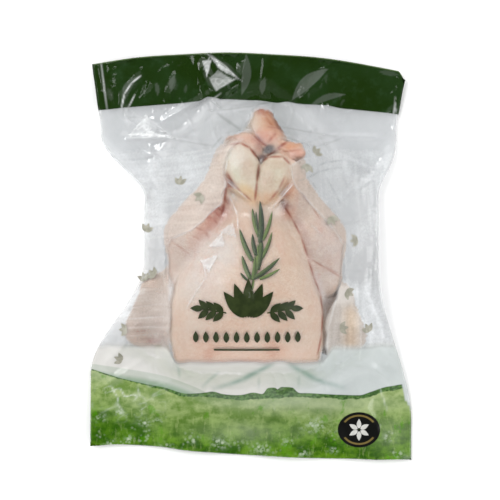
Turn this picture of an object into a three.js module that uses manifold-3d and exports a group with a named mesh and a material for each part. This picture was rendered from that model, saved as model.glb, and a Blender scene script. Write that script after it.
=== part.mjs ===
// A whole raw chicken sealed in a clear printed bag, lying on its back with the breast up.
// The film is drawn tight over the bird, so the bag is one solid whose top face is the draped film.
// Units are millimetres and +Z is up. X runs across the bag and +Y runs from the bird's neck to its tail.
// The origin is on the surface that the bag lies on, under the middle of the bag.

import * as THREE from "three";
import { mergeVertices } from "three/addons/utils/BufferGeometryUtils.js";
import Module from "manifold-3d";

// The flat bag. Its top edge is bowed and slanted, with one corner cut.
// Its bottom edge runs level from the left and falls to the right. Each station is [share across, y].
const bagHalfWidth = 160;
const topEdgeY = 206;
const topEdgeArch = 15.5;
const topEdgeSlant = -4.5;
const bottomEdge = [
  [-1, -185.2],
  [-0.85, -184.1],
  [-0.6, -186],
  [-0.4, -189.8],
  [-0.2, -192.8],
  [0.1, -195.7],
  [0.5, -198.2],
  [1, -199.2],
];
const cornerCut = 7;
const cornerCutFrom = 0.94;

// How far each side is drawn in: beside the bird, in a pinch under the header, and along the header.
const leftSide = { drawIn: 55, from: -115, full: 0, pinch: 10, taper: 4 };
const rightSide = { drawIn: 34, from: -160, full: -10, pinch: 14, taper: 7 };
const drawInEndY = [62, 126];
const pinchY = 126;
const pinchHalfLength = 30;
const taperY = 168;
const taperHalfLength = 28;

// The height of the seams above the table: low at both ends, lifted beside the bird, and wavy.
const seamThickness = 1.4;
const bottomSeamHeight = 5;
const topSeamLift = 4;
const topSeamLiftY = 175;
const topSeamLiftHalfLength = 40;
const waistSeamLift = 20;
const seamLiftHalfLength = 85;
const seamWave = 2.2;
const seamWaveLength = 92;

// The bird, from the neck end to the tip of the tail.
const breastTop = 111;
const breastHalfWidth = 73;
const neckEndY = -107;
const breastTipY = 62;
const backHalfWidth = 66;
const backHeight = 70;
const pelvisEndY = 118;
const legMuscleRadius = 29;
const kneeRadius = 22;
const ankleRadius = 12;
const hockRadius = 16;
const hockTipRadius = 5.5;
const tailRootRadius = 21;
const tailTipRadius = 9;
const shoulderRadius = 18;
const wingRadius = 13;
const legFillet = 12;
const hockFillet = 6;
const wingFillet = 8;

// The sprig of rosemary under the film, on the breast.
const stemRadius = 1.4;
const needleSides = 5;
const needleLift = 0.1;
const needleSink = -2;

// How finely the film is divided, and how hard the bag's vacuum draws it on to the bird.
const columns = 52;
const rows = 84;
const centreCrowding = 0.32;
const relaxSteps = 1500;
const suction = 0.065;
const lowestFilm = 6;

const clamp01 = (value) => Math.min(1, Math.max(0, value));

function smoothstep(low, high, value) {
  const u = clamp01((value - low) / (high - low));
  return u * u * (3 - 2 * u);
}

const bell = (value, centre, width) => Math.exp(-(((value - centre) / width) ** 2));

// Smooth union of two distances: k is the width of the fillet between the two forms.
function blend(a, b, k) {
  const h = clamp01(0.5 + (0.5 * (b - a)) / k);
  return b + (a - b) * h - k * h * (1 - h);
}

// A curve through stations [position, value], smooth and without overshoot.
function through(stations) {
  const at = stations.map((s) => s[0]);
  const value = stations.map((s) => s[1]);
  const slope = at.slice(1).map((x, i) => (value[i + 1] - value[i]) / (x - at[i]));
  const tangent = at.map((_, i) => {
    if (i === 0) return slope[0];
    if (i === at.length - 1) return slope[i - 1];
    const product = slope[i - 1] * slope[i];
    return product <= 0 ? 0 : (2 * product) / (slope[i - 1] + slope[i]);
  });
  return (x) => {
    const p = Math.min(Math.max(x, at[0]), at[at.length - 1]);
    let i = 0;
    while (i < at.length - 2 && p > at[i + 1]) i += 1;
    const h = at[i + 1] - at[i];
    const u = (p - at[i]) / h;
    const start = (1 + 2 * u) * (1 - u) ** 2 * value[i] + u * (1 - u) ** 2 * h * tangent[i];
    return start + u * u * (3 - 2 * u) * value[i + 1] + u * u * (u - 1) * h * tangent[i + 1];
  };
}

// Distance to a tapered round limb from a to b.
function limb(a, b, radiusA, radiusB) {
  const start = new THREE.Vector3(...a);
  const along = new THREE.Vector3(...b).sub(start);
  const lengthSquared = along.lengthSq();
  const offset = new THREE.Vector3();
  return (x, y, z) => {
    offset.set(x, y, z).sub(start);
    const t = clamp01(offset.dot(along) / lengthSquared);
    return offset.addScaledVector(along, -t).length() - (radiusA + (radiusB - radiusA) * t);
  };
}

// Distance to an ellipsoid turned about Z by yaw degrees.
function lobe(centre, radii, yaw) {
  const cos = Math.cos(THREE.MathUtils.degToRad(yaw));
  const sin = Math.sin(THREE.MathUtils.degToRad(yaw));
  return (x, y, z) => {
    const dx = x - centre[0];
    const dy = y - centre[1];
    const u = (cos * dx + sin * dy) / radii[0];
    const v = (cos * dy - sin * dx) / radii[1];
    const w = (z - centre[2]) / radii[2];
    const size = Math.hypot(u, v, w);
    return (size * (size - 1)) / Math.max(Math.hypot(u / radii[0], v / radii[1], w / radii[2]), 1e-9);
  };
}

// Distance to a body of superellipse sections strung along Y.
// Each station is [y, middle x, half width, underside z, top z].
function sections(stations, power) {
  const first = stations[0][0];
  const last = stations[stations.length - 1][0];
  const [middle, width, under, top] = [1, 2, 3, 4].map((n) => through(stations.map((s) => [s[0], s[n]])));
  return (x, y, z) => {
    const halfHeight = (top(y) - under(y)) / 2;
    const u = Math.abs((x - middle(y)) / width(y)) ** power;
    const v = Math.abs((z - (top(y) + under(y)) / 2) / halfHeight) ** power;
    const inside = ((u + v) ** (1 / power) - 1) * Math.min(width(y), halfHeight);
    const beyond = Math.max(first - y, y - last, 0);
    return beyond > 0 ? Math.hypot(Math.max(inside, 0), beyond) : inside;
  };
}

// The breast: a teardrop from its blunt neck end to its narrow tip under the hocks.
function breast() {
  const w = breastHalfWidth;
  const top = breastTop;
  return sections(
    [
      [neckEndY, -5, 0.27 * w, 36, 0.43 * top],
      [neckEndY + 4, -5, 0.68 * w, 26, 0.54 * top],
      [neckEndY + 14, -5, 0.9 * w, 18, 0.7 * top],
      [neckEndY + 32, -4, w, 14, 0.875 * top],
      [-50, -4, w, 14, 0.98 * top],
      [-26, -5, 0.93 * w, 16, top],
      [-4, -3, 0.82 * w, 20, 0.965 * top],
      [18, 0, 0.66 * w, 26, 0.89 * top],
      [40, 2, 0.45 * w, 36, 0.79 * top],
      [breastTipY - 6, 3, 0.27 * w, 44, 0.7 * top],
      [breastTipY, 3, 0.08 * w, 50, 0.56 * top],
    ],
    2.25,
  );
}

// The back and pelvis that carry the breast, from the shoulders to the root of the tail.
function back() {
  const w = backHalfWidth;
  const top = backHeight;
  return sections(
    [
      [neckEndY + 7, -3, 0.55 * w, 10, 0.66 * top],
      [neckEndY + 22, -3, 0.85 * w, -2, 0.86 * top],
      [-50, -2, w, -6, 0.94 * top],
      [0, 0, 0.97 * w, -6, top],
      [40, 2, 0.88 * w, -4, top],
      [80, 4, 0.73 * w, 0, top],
      [pelvisEndY - 13, 6, 0.52 * w, 8, 0.86 * top],
      [pelvisEndY, 6, 0.21 * w, 22, 0.66 * top],
    ],
    2.4,
  );
}

// A drumstick that runs from the ankle by the tail to the knee beside the breast.
function leg(ankle, muscle, knee) {
  const drumstick = limb(ankle, muscle, ankleRadius, legMuscleRadius);
  const kneeEnd = limb(muscle, knee, legMuscleRadius, kneeRadius);
  return (x, y, z) => blend(drumstick(x, y, z), kneeEnd(x, y, z), legFillet);
}

// A bent limb through stations [x, y, z, radius].
function chain(stations, fillet) {
  const parts = stations.slice(1).map((end, i) => {
    const [start, startRadius] = [stations[i].slice(0, 3), stations[i][3]];
    return limb(start, end.slice(0, 3), startRadius, end[3]);
  });
  return (x, y, z) => parts.reduce((far, part) => blend(far, part(x, y, z), fillet), 1e3);
}

// The bare hocks at the ends of the legs, with their tips tucked under the skin over the breast's tip.
function hocks() {
  const r = hockRadius;
  const left = [
    [-12.5, 101, 79, 0.78 * r],
    [-8.5, 87, 82, r],
    [-2.5, 70, 84, 0.72 * r],
    [2, 58, 84, hockTipRadius],
  ];
  const right = [
    [24, 89, 80, 0.78 * r],
    [20, 79, 82, 0.88 * r],
    [15, 68, 84, 0.66 * r],
    [11.5, 58, 84, hockTipRadius],
  ];
  return [chain(left, hockFillet), chain(right, hockFillet)];
}

// The folded wings, each from the shoulder out to the elbow, back to the wrist and in to the tip,
// with the skin that fills the fold.
function wings() {
  const [shoulder, r] = [shoulderRadius, wingRadius];
  const left = [
    [-66, -66, 40, shoulder],
    [-93, -27, 30, r],
    [-108, -68, 25, 1.15 * r],
    [-88, -84, 20, 0.85 * r],
  ];
  const right = [
    [58, -70, 40, shoulder],
    [86, -36, 30, r],
    [97, -74, 25, 1.15 * r],
    [84, -90, 20, 0.77 * r],
  ];
  return [
    [chain(left, wingFillet), 6],
    [lobe([-90, -57, 24], [26, 30, 13], 0), 8],
    [chain(right, wingFillet), 6],
    [lobe([82, -64, 24], [24, 28, 13], 0), 8],
  ];
}

// The rump, the skin that the hocks are tucked under, the tops of the thighs, the flanks,
// the skin under the wings, and the neck end.
function fillings() {
  return [
    [lobe([8, 98, 34], [42, 27, 33], 0), 14],
    [lobe([4, 55, 55], [30, 28, 30], 0), 12],
    [lobe([-46, 6, 42], [27, 52, 33], 6), 12],
    [lobe([49, 6, 42], [27, 52, 33], -6), 12],
    [lobe([-42, 20, 25], [38, 50, 27], -10), 10],
    [lobe([48, 16, 25], [41, 50, 27], 10), 10],
    [lobe([-62, -44, 24], [40, 44, 23], 0), 10],
    [lobe([60, -46, 24], [38, 42, 23], 0), 10],
    [lobe([-3, -82, 26], [58, 24, 27], 0), 10],
  ];
}

// The tail and the lobes of skin round the vent.
function tail() {
  const leftLobe = [
    [-19, 113, 60, 7],
    [-6, 113, 66, 8.5],
    [5.5, 102, 68, 8],
  ];
  return [
    [limb([15.5, 115, 44], [13.8, 138.5, 34], tailRootRadius, tailTipRadius), 6],
    [chain(leftLobe, 5), 3],
    [limb([31, 108, 62], [46, 110.5, 56], 6.5, 4), 2.5],
    [limb([30, 100, 66], [49, 102.5, 58], 7.5, 5), 2.5],
  ];
}

// Every form of the bird with the width of the fillet that joins it to the ones before.
function birdForms() {
  const ankleLeft = [-21.9, 88, 74];
  const ankleRight = [35.1, 84.2, 74];
  const [leftHock, rightHock] = hocks();
  const jointRadius = ankleRadius - 1;
  return [
    [breast(), 1],
    [back(), 14],
    ...fillings(),
    ...tail(),
    ...wings(),
    [leg(ankleLeft, [-52.1, 23.5, 54], [-59.2, -9.4, 46]), 6],
    [leg(ankleRight, [60.7, 19.6, 54], [66.8, -15.2, 46]), 3.5],
    [limb([-12, 100, 74], ankleLeft, jointRadius, jointRadius), 4],
    [limb([27, 88, 74], ankleRight, jointRadius, jointRadius), 4],
    [limb([-26, 76, 82], [2, 54, 84], 3, 3), 5],
    [limb([40, 72, 80], [21, 54, 83], 3, 3), 5],
    [leftHock, 1.5],
    [rightHock, 1.5],
  ];
}

// The pit of the vent between the tail and the hocks.
const vent = lobe([17, 106, 72], [6.5, 4.5, 14], 25);

function birdDistance(forms, x, y, z) {
  const joined = forms.reduce((far, [form, fillet]) => blend(far, form(x, y, z), fillet), 1e3);
  return -blend(-joined, vent(x, y, z), 2);
}

// The height of the bird's skin at x, y, found by stepping down and then halving.
function birdTop(forms, x, y) {
  const step = 2.5;
  let z = breastTop + 4;
  while (z > 0 && birdDistance(forms, x, y, z) > 0) z -= step;
  if (z <= 0) return 0;
  let low = z;
  let high = z + step;
  for (let i = 0; i < 8; i += 1) {
    const mid = (low + high) / 2;
    if (birdDistance(forms, x, y, mid) > 0) high = mid;
    else low = mid;
  }
  return low;
}

// The x of the bag's left or right edge at y. side is -1 or 1.
function sideEdge(side, y) {
  const { drawIn, from, full, pinch, taper } = side < 0 ? leftSide : rightSide;
  const besideBird = smoothstep(from, full, y) * (1 - smoothstep(...drawInEndY, y));
  const atHeader = pinch * bell(y, pinchY, pinchHalfLength) + taper * bell(y, taperY, taperHalfLength);
  return side * (bagHalfWidth - drawIn * besideBird - atHeader);
}

const bottomY = through(bottomEdge);

// The plan position of the film at s across, from -1 to 1, and t along, from 0 to 1.
function planPoint(s, t) {
  const cut = cornerCut * smoothstep(cornerCutFrom, 1, s);
  const topY = topEdgeY - topEdgeArch * s * s + topEdgeSlant * s - cut;
  const y = bottomY(s) + t * (topY - bottomY(s));
  const left = sideEdge(-1, y);
  return [left + ((s + 1) / 2) * (sideEdge(1, y) - left), y];
}

// The height of the seam at x, y, and the lowest that the film near it can be drawn.
function seamHeight(x, y) {
  const lift = waistSeamLift * Math.exp(-(Math.abs(y / seamLiftHalfLength) ** 3));
  const wave = seamWave * Math.sin((2 * Math.PI * (x + 0.6 * y)) / seamWaveLength + 1);
  return bottomSeamHeight + topSeamLift * bell(y, topSeamLiftY, topSeamLiftHalfLength) + lift + wave;
}

// The folds that the pull of the bird draws in the film, each a low ridge from one point to another.
// Each fold is [x, y, x, y, height].
const folds = [
  [-141, 171, -133, 149, 2],
  [-110, 183, -126, 165, 2.6],
  [-126, 165, -118, 132, 2.4],
  [-82, 159, -74, 184, 2],
  [-44, 206, -14, 181, 3],
  [-48, 196, -14, 181, 2.6],
  [-16, 160, -3, 204, 2.4],
  [46, 157, 80, 191, 2.8],
  [76, 152, 97, 163, 2],
  [-112, 142, -80, 122, 2.2],
  [-123, 121, -76, 122, 2.4],
  [-76, 122, -34, 113, 2.4],
  [-41, 165, -86, 140, 2.4],
  [-41, 165, -17, 128, 2.4],
  [38, 131, 53, 115, 2],
  [53, 115, 133, 122, 2],
  [77, 93, 96, 100, 2.2],
  [96, 100, 125, 86, 2.2],
  [-150, -130, -104, -96, 2.5],
  [148, -128, 110, -98, 2.5],
  [96, -58, 140, -100, 2],
  [-110, -60, -146, -104, 2],
];
const foldHalfWidth = 4.5;

function foldRelief(x, y) {
  return folds.reduce((relief, [x0, y0, x1, y1, height]) => {
    const [dx, dy] = [x1 - x0, y1 - y0];
    const t = clamp01(((x - x0) * dx + (y - y0) * dy) / (dx * dx + dy * dy));
    const away = Math.hypot(x - x0 - t * dx, y - y0 - t * dy);
    return relief + height * Math.sin(Math.PI * (0.1 + 0.8 * t)) * bell(away, 0, foldHalfWidth);
  }, 0);
}

// The draped film: pinned at the seam, held up by the bird, and drawn in everywhere else.
function drapedFilm(forms) {
  const spread = (u) => u * (1 - centreCrowding) + centreCrowding * u ** 3;
  const points = [];
  for (let j = 0; j <= rows; j += 1) {
    for (let i = 0; i <= columns; i += 1) points.push(planPoint(spread((2 * i) / columns - 1), j / rows));
  }
  const skin = points.map(([x, y]) => birdTop(forms, x, y));
  const seam = points.map(([x, y]) => seamHeight(x, y));
  const width = columns + 1;
  const cellArea = points.map((point, n) => {
    const [right, up] = [points[n + 1] ?? point, points[n + width] ?? points[n - width]];
    return Math.abs((right[0] - point[0]) * (up[1] - point[1]));
  });
  let height = skin.map((z, n) => Math.max(z, seam[n]));
  for (let step = 0; step < relaxSteps; step += 1) {
    const next = height.slice();
    for (let j = 1; j < rows; j += 1) {
      for (let i = 1; i < columns; i += 1) {
        const n = j * width + i;
        const around = height[n - 1] + height[n + 1] + height[n - width] + height[n + width];
        next[n] = Math.max(around / 4 - (suction * cellArea[n]) / 4, skin[n], Math.min(seam[n], lowestFilm));
      }
    }
    height = next;
  }
  return points.map(([x, y], n) => {
    const [i, j] = [n % width, Math.floor(n / width)];
    const onRim = i === 0 || j === 0 || i === columns || j === rows;
    return [x, y, onRim ? seam[n] : height[n] + foldRelief(x, y)];
  });
}

// Joins two closed rings of points, wound the same way, with a strip of triangles.
// The strip steps along whichever ring is behind.
function stitch(outer, inner, triangles) {
  let [i, j] = [0, 0];
  while (i < outer.length || j < inner.length) {
    const a = outer[i % outer.length];
    const b = inner[j % inner.length];
    if (j === inner.length || (i < outer.length && i * inner.length <= j * outer.length)) {
      i += 1;
      triangles.push([a, b, outer[i % outer.length]]);
    } else {
      j += 1;
      triangles.push([a, b, inner[j % inner.length]]);
    }
  }
}

// The rings under the bag: the rim drawn towards the middle by size, at a share of the seam's height,
// with one point kept out of every skip. The last two are flat on the table.
const undersideRings = [
  [0.9, 0.3, 2],
  [0.8, 0, 4],
  [0.4, 0, 10],
];

// The bag as one solid: the draped film above, the seam's edge, and the flat underside.
function bagGeometry(forms) {
  const points = drapedFilm(forms);
  const triangles = [];
  const width = columns + 1;
  for (let j = 0; j < rows; j += 1) {
    for (let i = 0; i < columns; i += 1) {
      const [a, b, c, d] = [j * width + i, j * width + i + 1, (j + 1) * width + i, (j + 1) * width + i + 1];
      if ((i + j) % 2) triangles.push([a, b, d], [a, d, c]);
      else triangles.push([a, b, c], [b, d, c]);
    }
  }
  const rim = [];
  for (let i = 0; i < columns; i += 1) rim.push(i);
  for (let j = 0; j < rows; j += 1) rim.push(j * width + columns);
  for (let i = columns; i > 0; i -= 1) rim.push(rows * width + i);
  for (let j = rows; j > 0; j -= 1) rim.push(j * width);
  const add = (x, y, z) => points.push([x, y, z]) - 1;
  const lower = rim.map((n) => add(points[n][0], points[n][1], points[n][2] - seamThickness));
  stitch(rim, lower, triangles);
  let outer = lower;
  for (const [size, share, skip] of undersideRings) {
    const ring = rim
      .filter((_, n) => n % skip === 0)
      .map((n) => add(points[n][0] * size, points[n][1] * size, (points[n][2] - seamThickness) * share));
    stitch(outer, ring, triangles);
    outer = ring;
  }
  const middle = add(0, 0, 0);
  outer.forEach((n, k) => triangles.push([n, middle, outer[(k + 1) % outer.length]]));
  const geometry = new THREE.BufferGeometry();
  geometry.setAttribute("position", new THREE.Float32BufferAttribute(points.flat(), 3));
  geometry.setIndex(triangles.flat());
  return geometry;
}

// One needle of the sprig: a spindle that follows the breast from its root to its tip.
// Each ring is [share of the length, share of the radius, height of the ring's middle above the skin].
const needleRings = [
  [0, 0, needleSink],
  [0.15, 0.8, needleLift],
  [0.5, 1, needleLift],
  [0.85, 0.7, needleLift],
  [1, 0, needleSink],
];

function needleGeometry(forms, [x0, y0, x1, y1, radius]) {
  const [dx, dy] = [x1 - x0, y1 - y0];
  const length = Math.hypot(dx, dy);
  const rings = needleRings.map(([share, size, lift]) => {
    const [x, y] = [x0 + dx * share, y0 + dy * share];
    const z = birdTop(forms, x, y) + lift;
    return Array.from({ length: needleSides }, (_, k) => {
      const angle = (2 * Math.PI * k) / needleSides;
      const across = size * radius * Math.cos(angle);
      return [x - (across * dy) / length, y + (across * dx) / length, z + size * radius * Math.sin(angle)];
    });
  });
  const triangles = [];
  for (let n = 0; n < (rings.length - 1) * needleSides; n += 1) {
    const next = n % needleSides === needleSides - 1 ? n + 1 - needleSides : n + 1;
    triangles.push([n, next, next + needleSides], [n, next + needleSides, n + needleSides]);
  }
  const geometry = new THREE.BufferGeometry();
  geometry.setAttribute("position", new THREE.Float32BufferAttribute(rings.flat(2), 3));
  geometry.setIndex(triangles.flat());
  return geometry;
}

// The sprig's stem and its needles, each [root x, root y, tip x, tip y, half width].
const stem = [2, -34, 8.3, 19, stemRadius];
const needles = [
  [8.3, 17, 8.3, 56, 2.6],
  [6.6, 24, 1.2, 49, 1.9],
  [6.8, 22, 4.8, 46, 1.5],
  [11, 19, 20, 46.5, 1.8],
  [1, 0, -10.8, 29.8, 2.3],
  [4.6, 5, 1.3, 25, 2],
  [9.2, 1, 19.8, 26.8, 1.8],
  [2.4, -16.6, 26.6, 2.6, 2.1],
  [8, -17, 26.8, -7.6, 1.6],
  [-0.4, -17, -8.4, 4.8, 2.2],
  [-3.5, -18, -9.9, -11, 1.2],
  [1.3, -17.8, 3.6, 4.4, 1.9],
  [6.4, -8.6, 10.1, 21.1, 2],
  [3.6, -13, 6.4, 15.6, 1.7],
];

// The stem and the needles, laid on the breast.
function sprigGeometries(forms) {
  return [stem, ...needles].map((needle) => needleGeometry(forms, needle));
}

// A closed geometry as a solid for joining.
function toSolid(wasm, geometry) {
  const merged = mergeVertices(geometry, 1e-4);
  return new wasm.Manifold(
    new wasm.Mesh({
      numProp: 3,
      vertProperties: merged.attributes.position.array,
      triVerts: new Uint32Array(merged.index.array),
    }),
  );
}

function toGeometry(solid) {
  const mesh = solid.getMesh();
  const geometry = new THREE.BufferGeometry();
  geometry.setAttribute("position", new THREE.BufferAttribute(mesh.vertProperties, 3));
  geometry.setIndex(new THREE.BufferAttribute(mesh.triVerts, 1));
  geometry.computeVertexNormals();
  return geometry;
}

const wasm = await Module();
wasm.setup();

const forms = birdForms();
const bareBag = toSolid(wasm, bagGeometry(forms));
const joined = sprigGeometries(forms).reduce((solid, needle) => solid.add(toSolid(wasm, needle)), bareBag);

const film = new THREE.MeshStandardMaterial({ color: 0xe9d2c4, roughness: 0.25, metalness: 0 });
const geometry = toGeometry(joined);
geometry.computeBoundingBox();
const middle = geometry.boundingBox.getCenter(new THREE.Vector3());
geometry.translate(-middle.x, -middle.y, -geometry.boundingBox.min.z);
const bag = new THREE.Mesh(geometry, film);
bag.name = "sealed_bag";

const root = new THREE.Group();
root.add(bag);

export default root;
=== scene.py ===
"""A whole raw chicken with a sprig of rosemary, drawn tight in a clear printed bag and seen from above.

The plan is worked out in millimetres, +X to the right and +Y towards the tail and the bag's header.
Every mesh is then moved to the frame's own origin and stored in metres.
"""

import math

import bpy
import numpy as np
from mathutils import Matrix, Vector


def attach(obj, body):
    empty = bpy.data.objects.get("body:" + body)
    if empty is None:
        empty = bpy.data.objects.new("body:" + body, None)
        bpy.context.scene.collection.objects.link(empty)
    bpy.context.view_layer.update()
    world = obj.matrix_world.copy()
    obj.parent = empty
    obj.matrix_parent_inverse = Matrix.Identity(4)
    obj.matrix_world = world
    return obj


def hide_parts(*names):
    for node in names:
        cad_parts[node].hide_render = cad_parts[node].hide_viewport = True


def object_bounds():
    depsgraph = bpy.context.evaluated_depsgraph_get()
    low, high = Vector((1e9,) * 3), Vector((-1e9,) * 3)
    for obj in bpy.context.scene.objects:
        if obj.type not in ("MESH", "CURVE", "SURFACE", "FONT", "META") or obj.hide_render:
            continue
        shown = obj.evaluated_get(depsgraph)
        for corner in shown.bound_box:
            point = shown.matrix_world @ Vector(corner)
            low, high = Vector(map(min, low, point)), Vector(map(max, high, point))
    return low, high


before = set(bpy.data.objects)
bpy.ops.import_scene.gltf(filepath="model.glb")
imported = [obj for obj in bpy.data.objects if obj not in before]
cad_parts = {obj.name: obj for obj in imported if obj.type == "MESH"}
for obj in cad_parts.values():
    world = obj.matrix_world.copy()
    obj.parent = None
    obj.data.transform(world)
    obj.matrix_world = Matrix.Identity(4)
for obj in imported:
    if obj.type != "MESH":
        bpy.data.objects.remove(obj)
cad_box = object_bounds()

import openvdb
from mathutils import Vector

MM = 0.001

# The share of the light here that a surface sends back.
INK_SHARE, FILM_SHARE, SKIN_SHARE, NEEDLE_SHARE = 0.7, 0.98, 0.68, 0.66

# The flat bag, and how far its sides are drawn in beside the bird.
BAG_HALF_WIDTH = 160
TOP_Y, TOP_ARCH, TOP_SLANT = 206, 15.5, -4.5
# The bottom edge: where between the sides, from -1 to 1, and y.
BOTTOM_EDGE = [
    (-1, -185.2), (-0.85, -184.1), (-0.6, -186), (-0.4, -189.8), (-0.2, -192.8), (0.1, -195.7),
    (0.5, -198.2), (1, -199.2),
]
# The cut of the top right corner, and where along the top it starts.
CORNER_CUT, CORNER_CUT_FROM = 7, 0.94
# Each side's draw-in, the y where it starts and where it is full, and its pinch and taper by the header.
SIDES = {-1: (55, -115, 0, 10, 4), 1: (34, -160, -10, 14, 7)}
DRAW_IN_END_Y = (62, 126)
PINCH_Y, PINCH_HALF_LENGTH = 126, 30
TAPER_Y, TAPER_HALF_LENGTH = 168, 28

# The height of the seams above the table.
SEAM_HEIGHT = 5
TOP_LIFT, TOP_LIFT_Y, TOP_LIFT_HALF = 4, 175, 40
WAIST_LIFT, WAIST_LIFT_HALF = 20, 85
SEAM_WAVE, SEAM_WAVE_LENGTH = 2.2, 92
FILM_GAP = 0.3

# The bird.
BREAST_TOP, BREAST_HALF_WIDTH = 109, 73
NECK_END_Y, BREAST_TIP_Y = -107, 62
BACK_HALF_WIDTH, BACK_HEIGHT, PELVIS_END_Y = 66, 70, 118
LEG_RADIUS, KNEE_RADIUS, ANKLE_RADIUS = 29, 22, 12
BIRD_FLOOR = 1.5
# The block of points that its distance is worked out on: their step, and the block's two corners.
BIRD_STEP = 1.34
BIRD_BLOCK = ((-130.0, -118.0, -3.0), (122.0, 156.0, 119.0))

# The film's grid, closer in the middle, and its four edges. The back has one face for some steps of it.
COLUMNS, ROWS = 264, 340
CENTRE_CROWDING = 0.3
RIM = (np.s_[0], np.s_[-1], np.s_[:, 0], np.s_[:, -1])
BACK_STEP = 4
# The bag's back: the height that it rests at, and how milky it is.
BACK_REST, BACK_HAZE = 0.15, 0.8
# The drape: columns, rows and rounds at each level, and how hard the bag's vacuum draws the film down.
DRAPE_LEVELS = ((44, 56, 400), (88, 112, 300), (COLUMNS, ROWS, 260))
SUCTION = 0.065
# The lowest that the drape may sink, its gap to the skin, and the folds' margin under the box's top.
LOWEST_FILM, CLEARANCE, TOP_MARGIN = 6, 0.5, 0.4
# The plan point that the wrinkles run out from.
WRINKLE_CENTRE = (3, 5)
# How milky the film is on the bird, off it, where the skin falls steeply, and in the frosted band.
HAZE_ON, HAZE_OFF, HAZE_STEEP, HAZE_FROST = 0.025, 0.495, 0.42, 0.9
# The frosted band's upper edge, how much higher it is at the sides, and the y over which the veil ends.
FROST_Y, FROST_RISE_AT_SIDES = -91, 13
VEIL_END_Y = (104, 122)

# How far the prints lie above the film.
PRINT_LIFT, LABEL_LIFT, ROSETTE_LIFT = 0.25, 0.35, 0.7

# The camera looks straight down from this height over this point, and sees this width at table height.
CAMERA_XY = (-1, 10)
CAMERA_HEIGHT = 1500
SEEN_WIDTH = 500

# The stage, in metres and watts: each light's name, place, size and power, and what the lights face.
LIGHTS = [
    ("key", (-1.1, 1.1, 1.6), 1.5, 17),
    ("glint", (-0.68, 0.48, 1.9), 0.4, 8),
    ("fill", (1.3, -0.3, 1.2), 1.0, 8),
]
LIGHT_TARGET = (0, 0, 0.05)
ROOM_LIGHT = {"From Min": 0.98, "From Max": 0.66, "To Min": 0.03, "To Max": 1.3}
FLOOR_HALF = 4.0


def clamp01(value):
    return np.clip(value, 0, 1)


def smoothstep(low, high, value):
    u = clamp01((value - low) / (high - low))
    return u * u * (3 - 2 * u)


def bell(value, centre, width):
    return np.exp(-(((value - centre) / width) ** 2))


def turned(dx, dy, degrees):
    """An offset as seen from axes that are turned by some degrees."""
    cos, sin = math.cos(math.radians(degrees)), math.sin(math.radians(degrees))
    return cos * dx + sin * dy, cos * dy - sin * dx


def blend(a, b, k):
    """Smooth union of two distances. k is the width of the fillet."""
    h = clamp01(0.5 + 0.5 * (b - a) / k)
    return b + (a - b) * h - k * h * (1 - h)


def through(stations, x):
    """A smooth curve through stations (position, value), without overshoot, at x."""
    at, value = np.array(stations, float).T
    step = np.diff(at)
    slope = np.diff(value) / step
    tangent = np.empty(len(at))
    tangent[0], tangent[-1] = slope[0], slope[-1]
    product = slope[:-1] * slope[1:]
    total = np.where(product > 0, slope[:-1] + slope[1:], 1)
    tangent[1:-1] = np.where(product > 0, 2 * product / total, 0)
    p = np.clip(x, at[0], at[-1])
    i = np.clip(np.searchsorted(at, p) - 1, 0, len(step) - 1)
    u = (p - at[i]) / step[i]
    start = (1 + 2 * u) * (1 - u) ** 2 * value[i] + u * (1 - u) ** 2 * step[i] * tangent[i]
    return start + u * u * (3 - 2 * u) * value[i + 1] + u * u * (u - 1) * step[i] * tangent[i + 1]


# The bird's form


def limb(p, a, b, radius_a, radius_b):
    """Distance to a tapered round limb from a to b."""
    along = np.subtract(b, a)
    offset = [p[k] - a[k] for k in range(3)]
    t = clamp01(sum(offset[k] * along[k] for k in range(3)) / (along @ along))
    gap = sum((offset[k] - t * along[k]) ** 2 for k in range(3))
    return np.sqrt(gap) - (radius_a + (radius_b - radius_a) * t)


def lobe(p, centre, radii, yaw):
    """Distance to an ellipsoid turned about Z by yaw degrees."""
    dx, dy = turned(p[0] - centre[0], p[1] - centre[1], yaw)
    u, v, w = dx / radii[0], dy / radii[1], (p[2] - centre[2]) / radii[2]
    size = np.sqrt(u * u + v * v + w * w)
    slope = np.sqrt((u / radii[0]) ** 2 + (v / radii[1]) ** 2 + (w / radii[2]) ** 2)
    return size * (size - 1) / np.maximum(slope, 1e-9)


def sections(p, stations, power):
    """Distance to superellipse sections along Y: (y, middle x, half width, under z, top z)."""
    table = np.array(stations, float)
    middle, width, under, top = (through(table[:, (0, n)], p[1]) for n in (1, 2, 3, 4))
    half_height = (top - under) / 2
    across = np.abs((p[0] - middle) / width) ** power
    up = np.abs((p[2] - (top + under) / 2) / half_height) ** power
    inside = ((across + up) ** (1 / power) - 1) * np.minimum(width, half_height)
    beyond = np.maximum(np.maximum(table[0, 0] - p[1], p[1] - table[-1, 0]), 0)
    return np.where(beyond > 0, np.hypot(np.maximum(inside, 0), beyond), inside)


def breast(p):
    w, top = BREAST_HALF_WIDTH, BREAST_TOP
    stations = [
        (NECK_END_Y, -4, 0.62 * w, 36, 0.43 * top),
        (NECK_END_Y + 4, -4, 0.9 * w, 26, 0.54 * top),
        (NECK_END_Y + 13, -4, 0.985 * w, 18, 0.69 * top),
        (NECK_END_Y + 32, -4, w, 14, 0.875 * top),
        (-50, -4, w, 14, 0.98 * top),
        (-26, -5, 0.93 * w, 16, top),
        (-4, -3, 0.82 * w, 20, 0.965 * top),
        (18, 0, 0.66 * w, 26, 0.89 * top),
        (40, 2, 0.45 * w, 36, 0.79 * top),
        (BREAST_TIP_Y - 6, 3, 0.27 * w, 44, 0.7 * top),
        (BREAST_TIP_Y, 3, 0.08 * w, 50, 0.56 * top),
    ]
    return sections(p, stations, 2.25)


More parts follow.
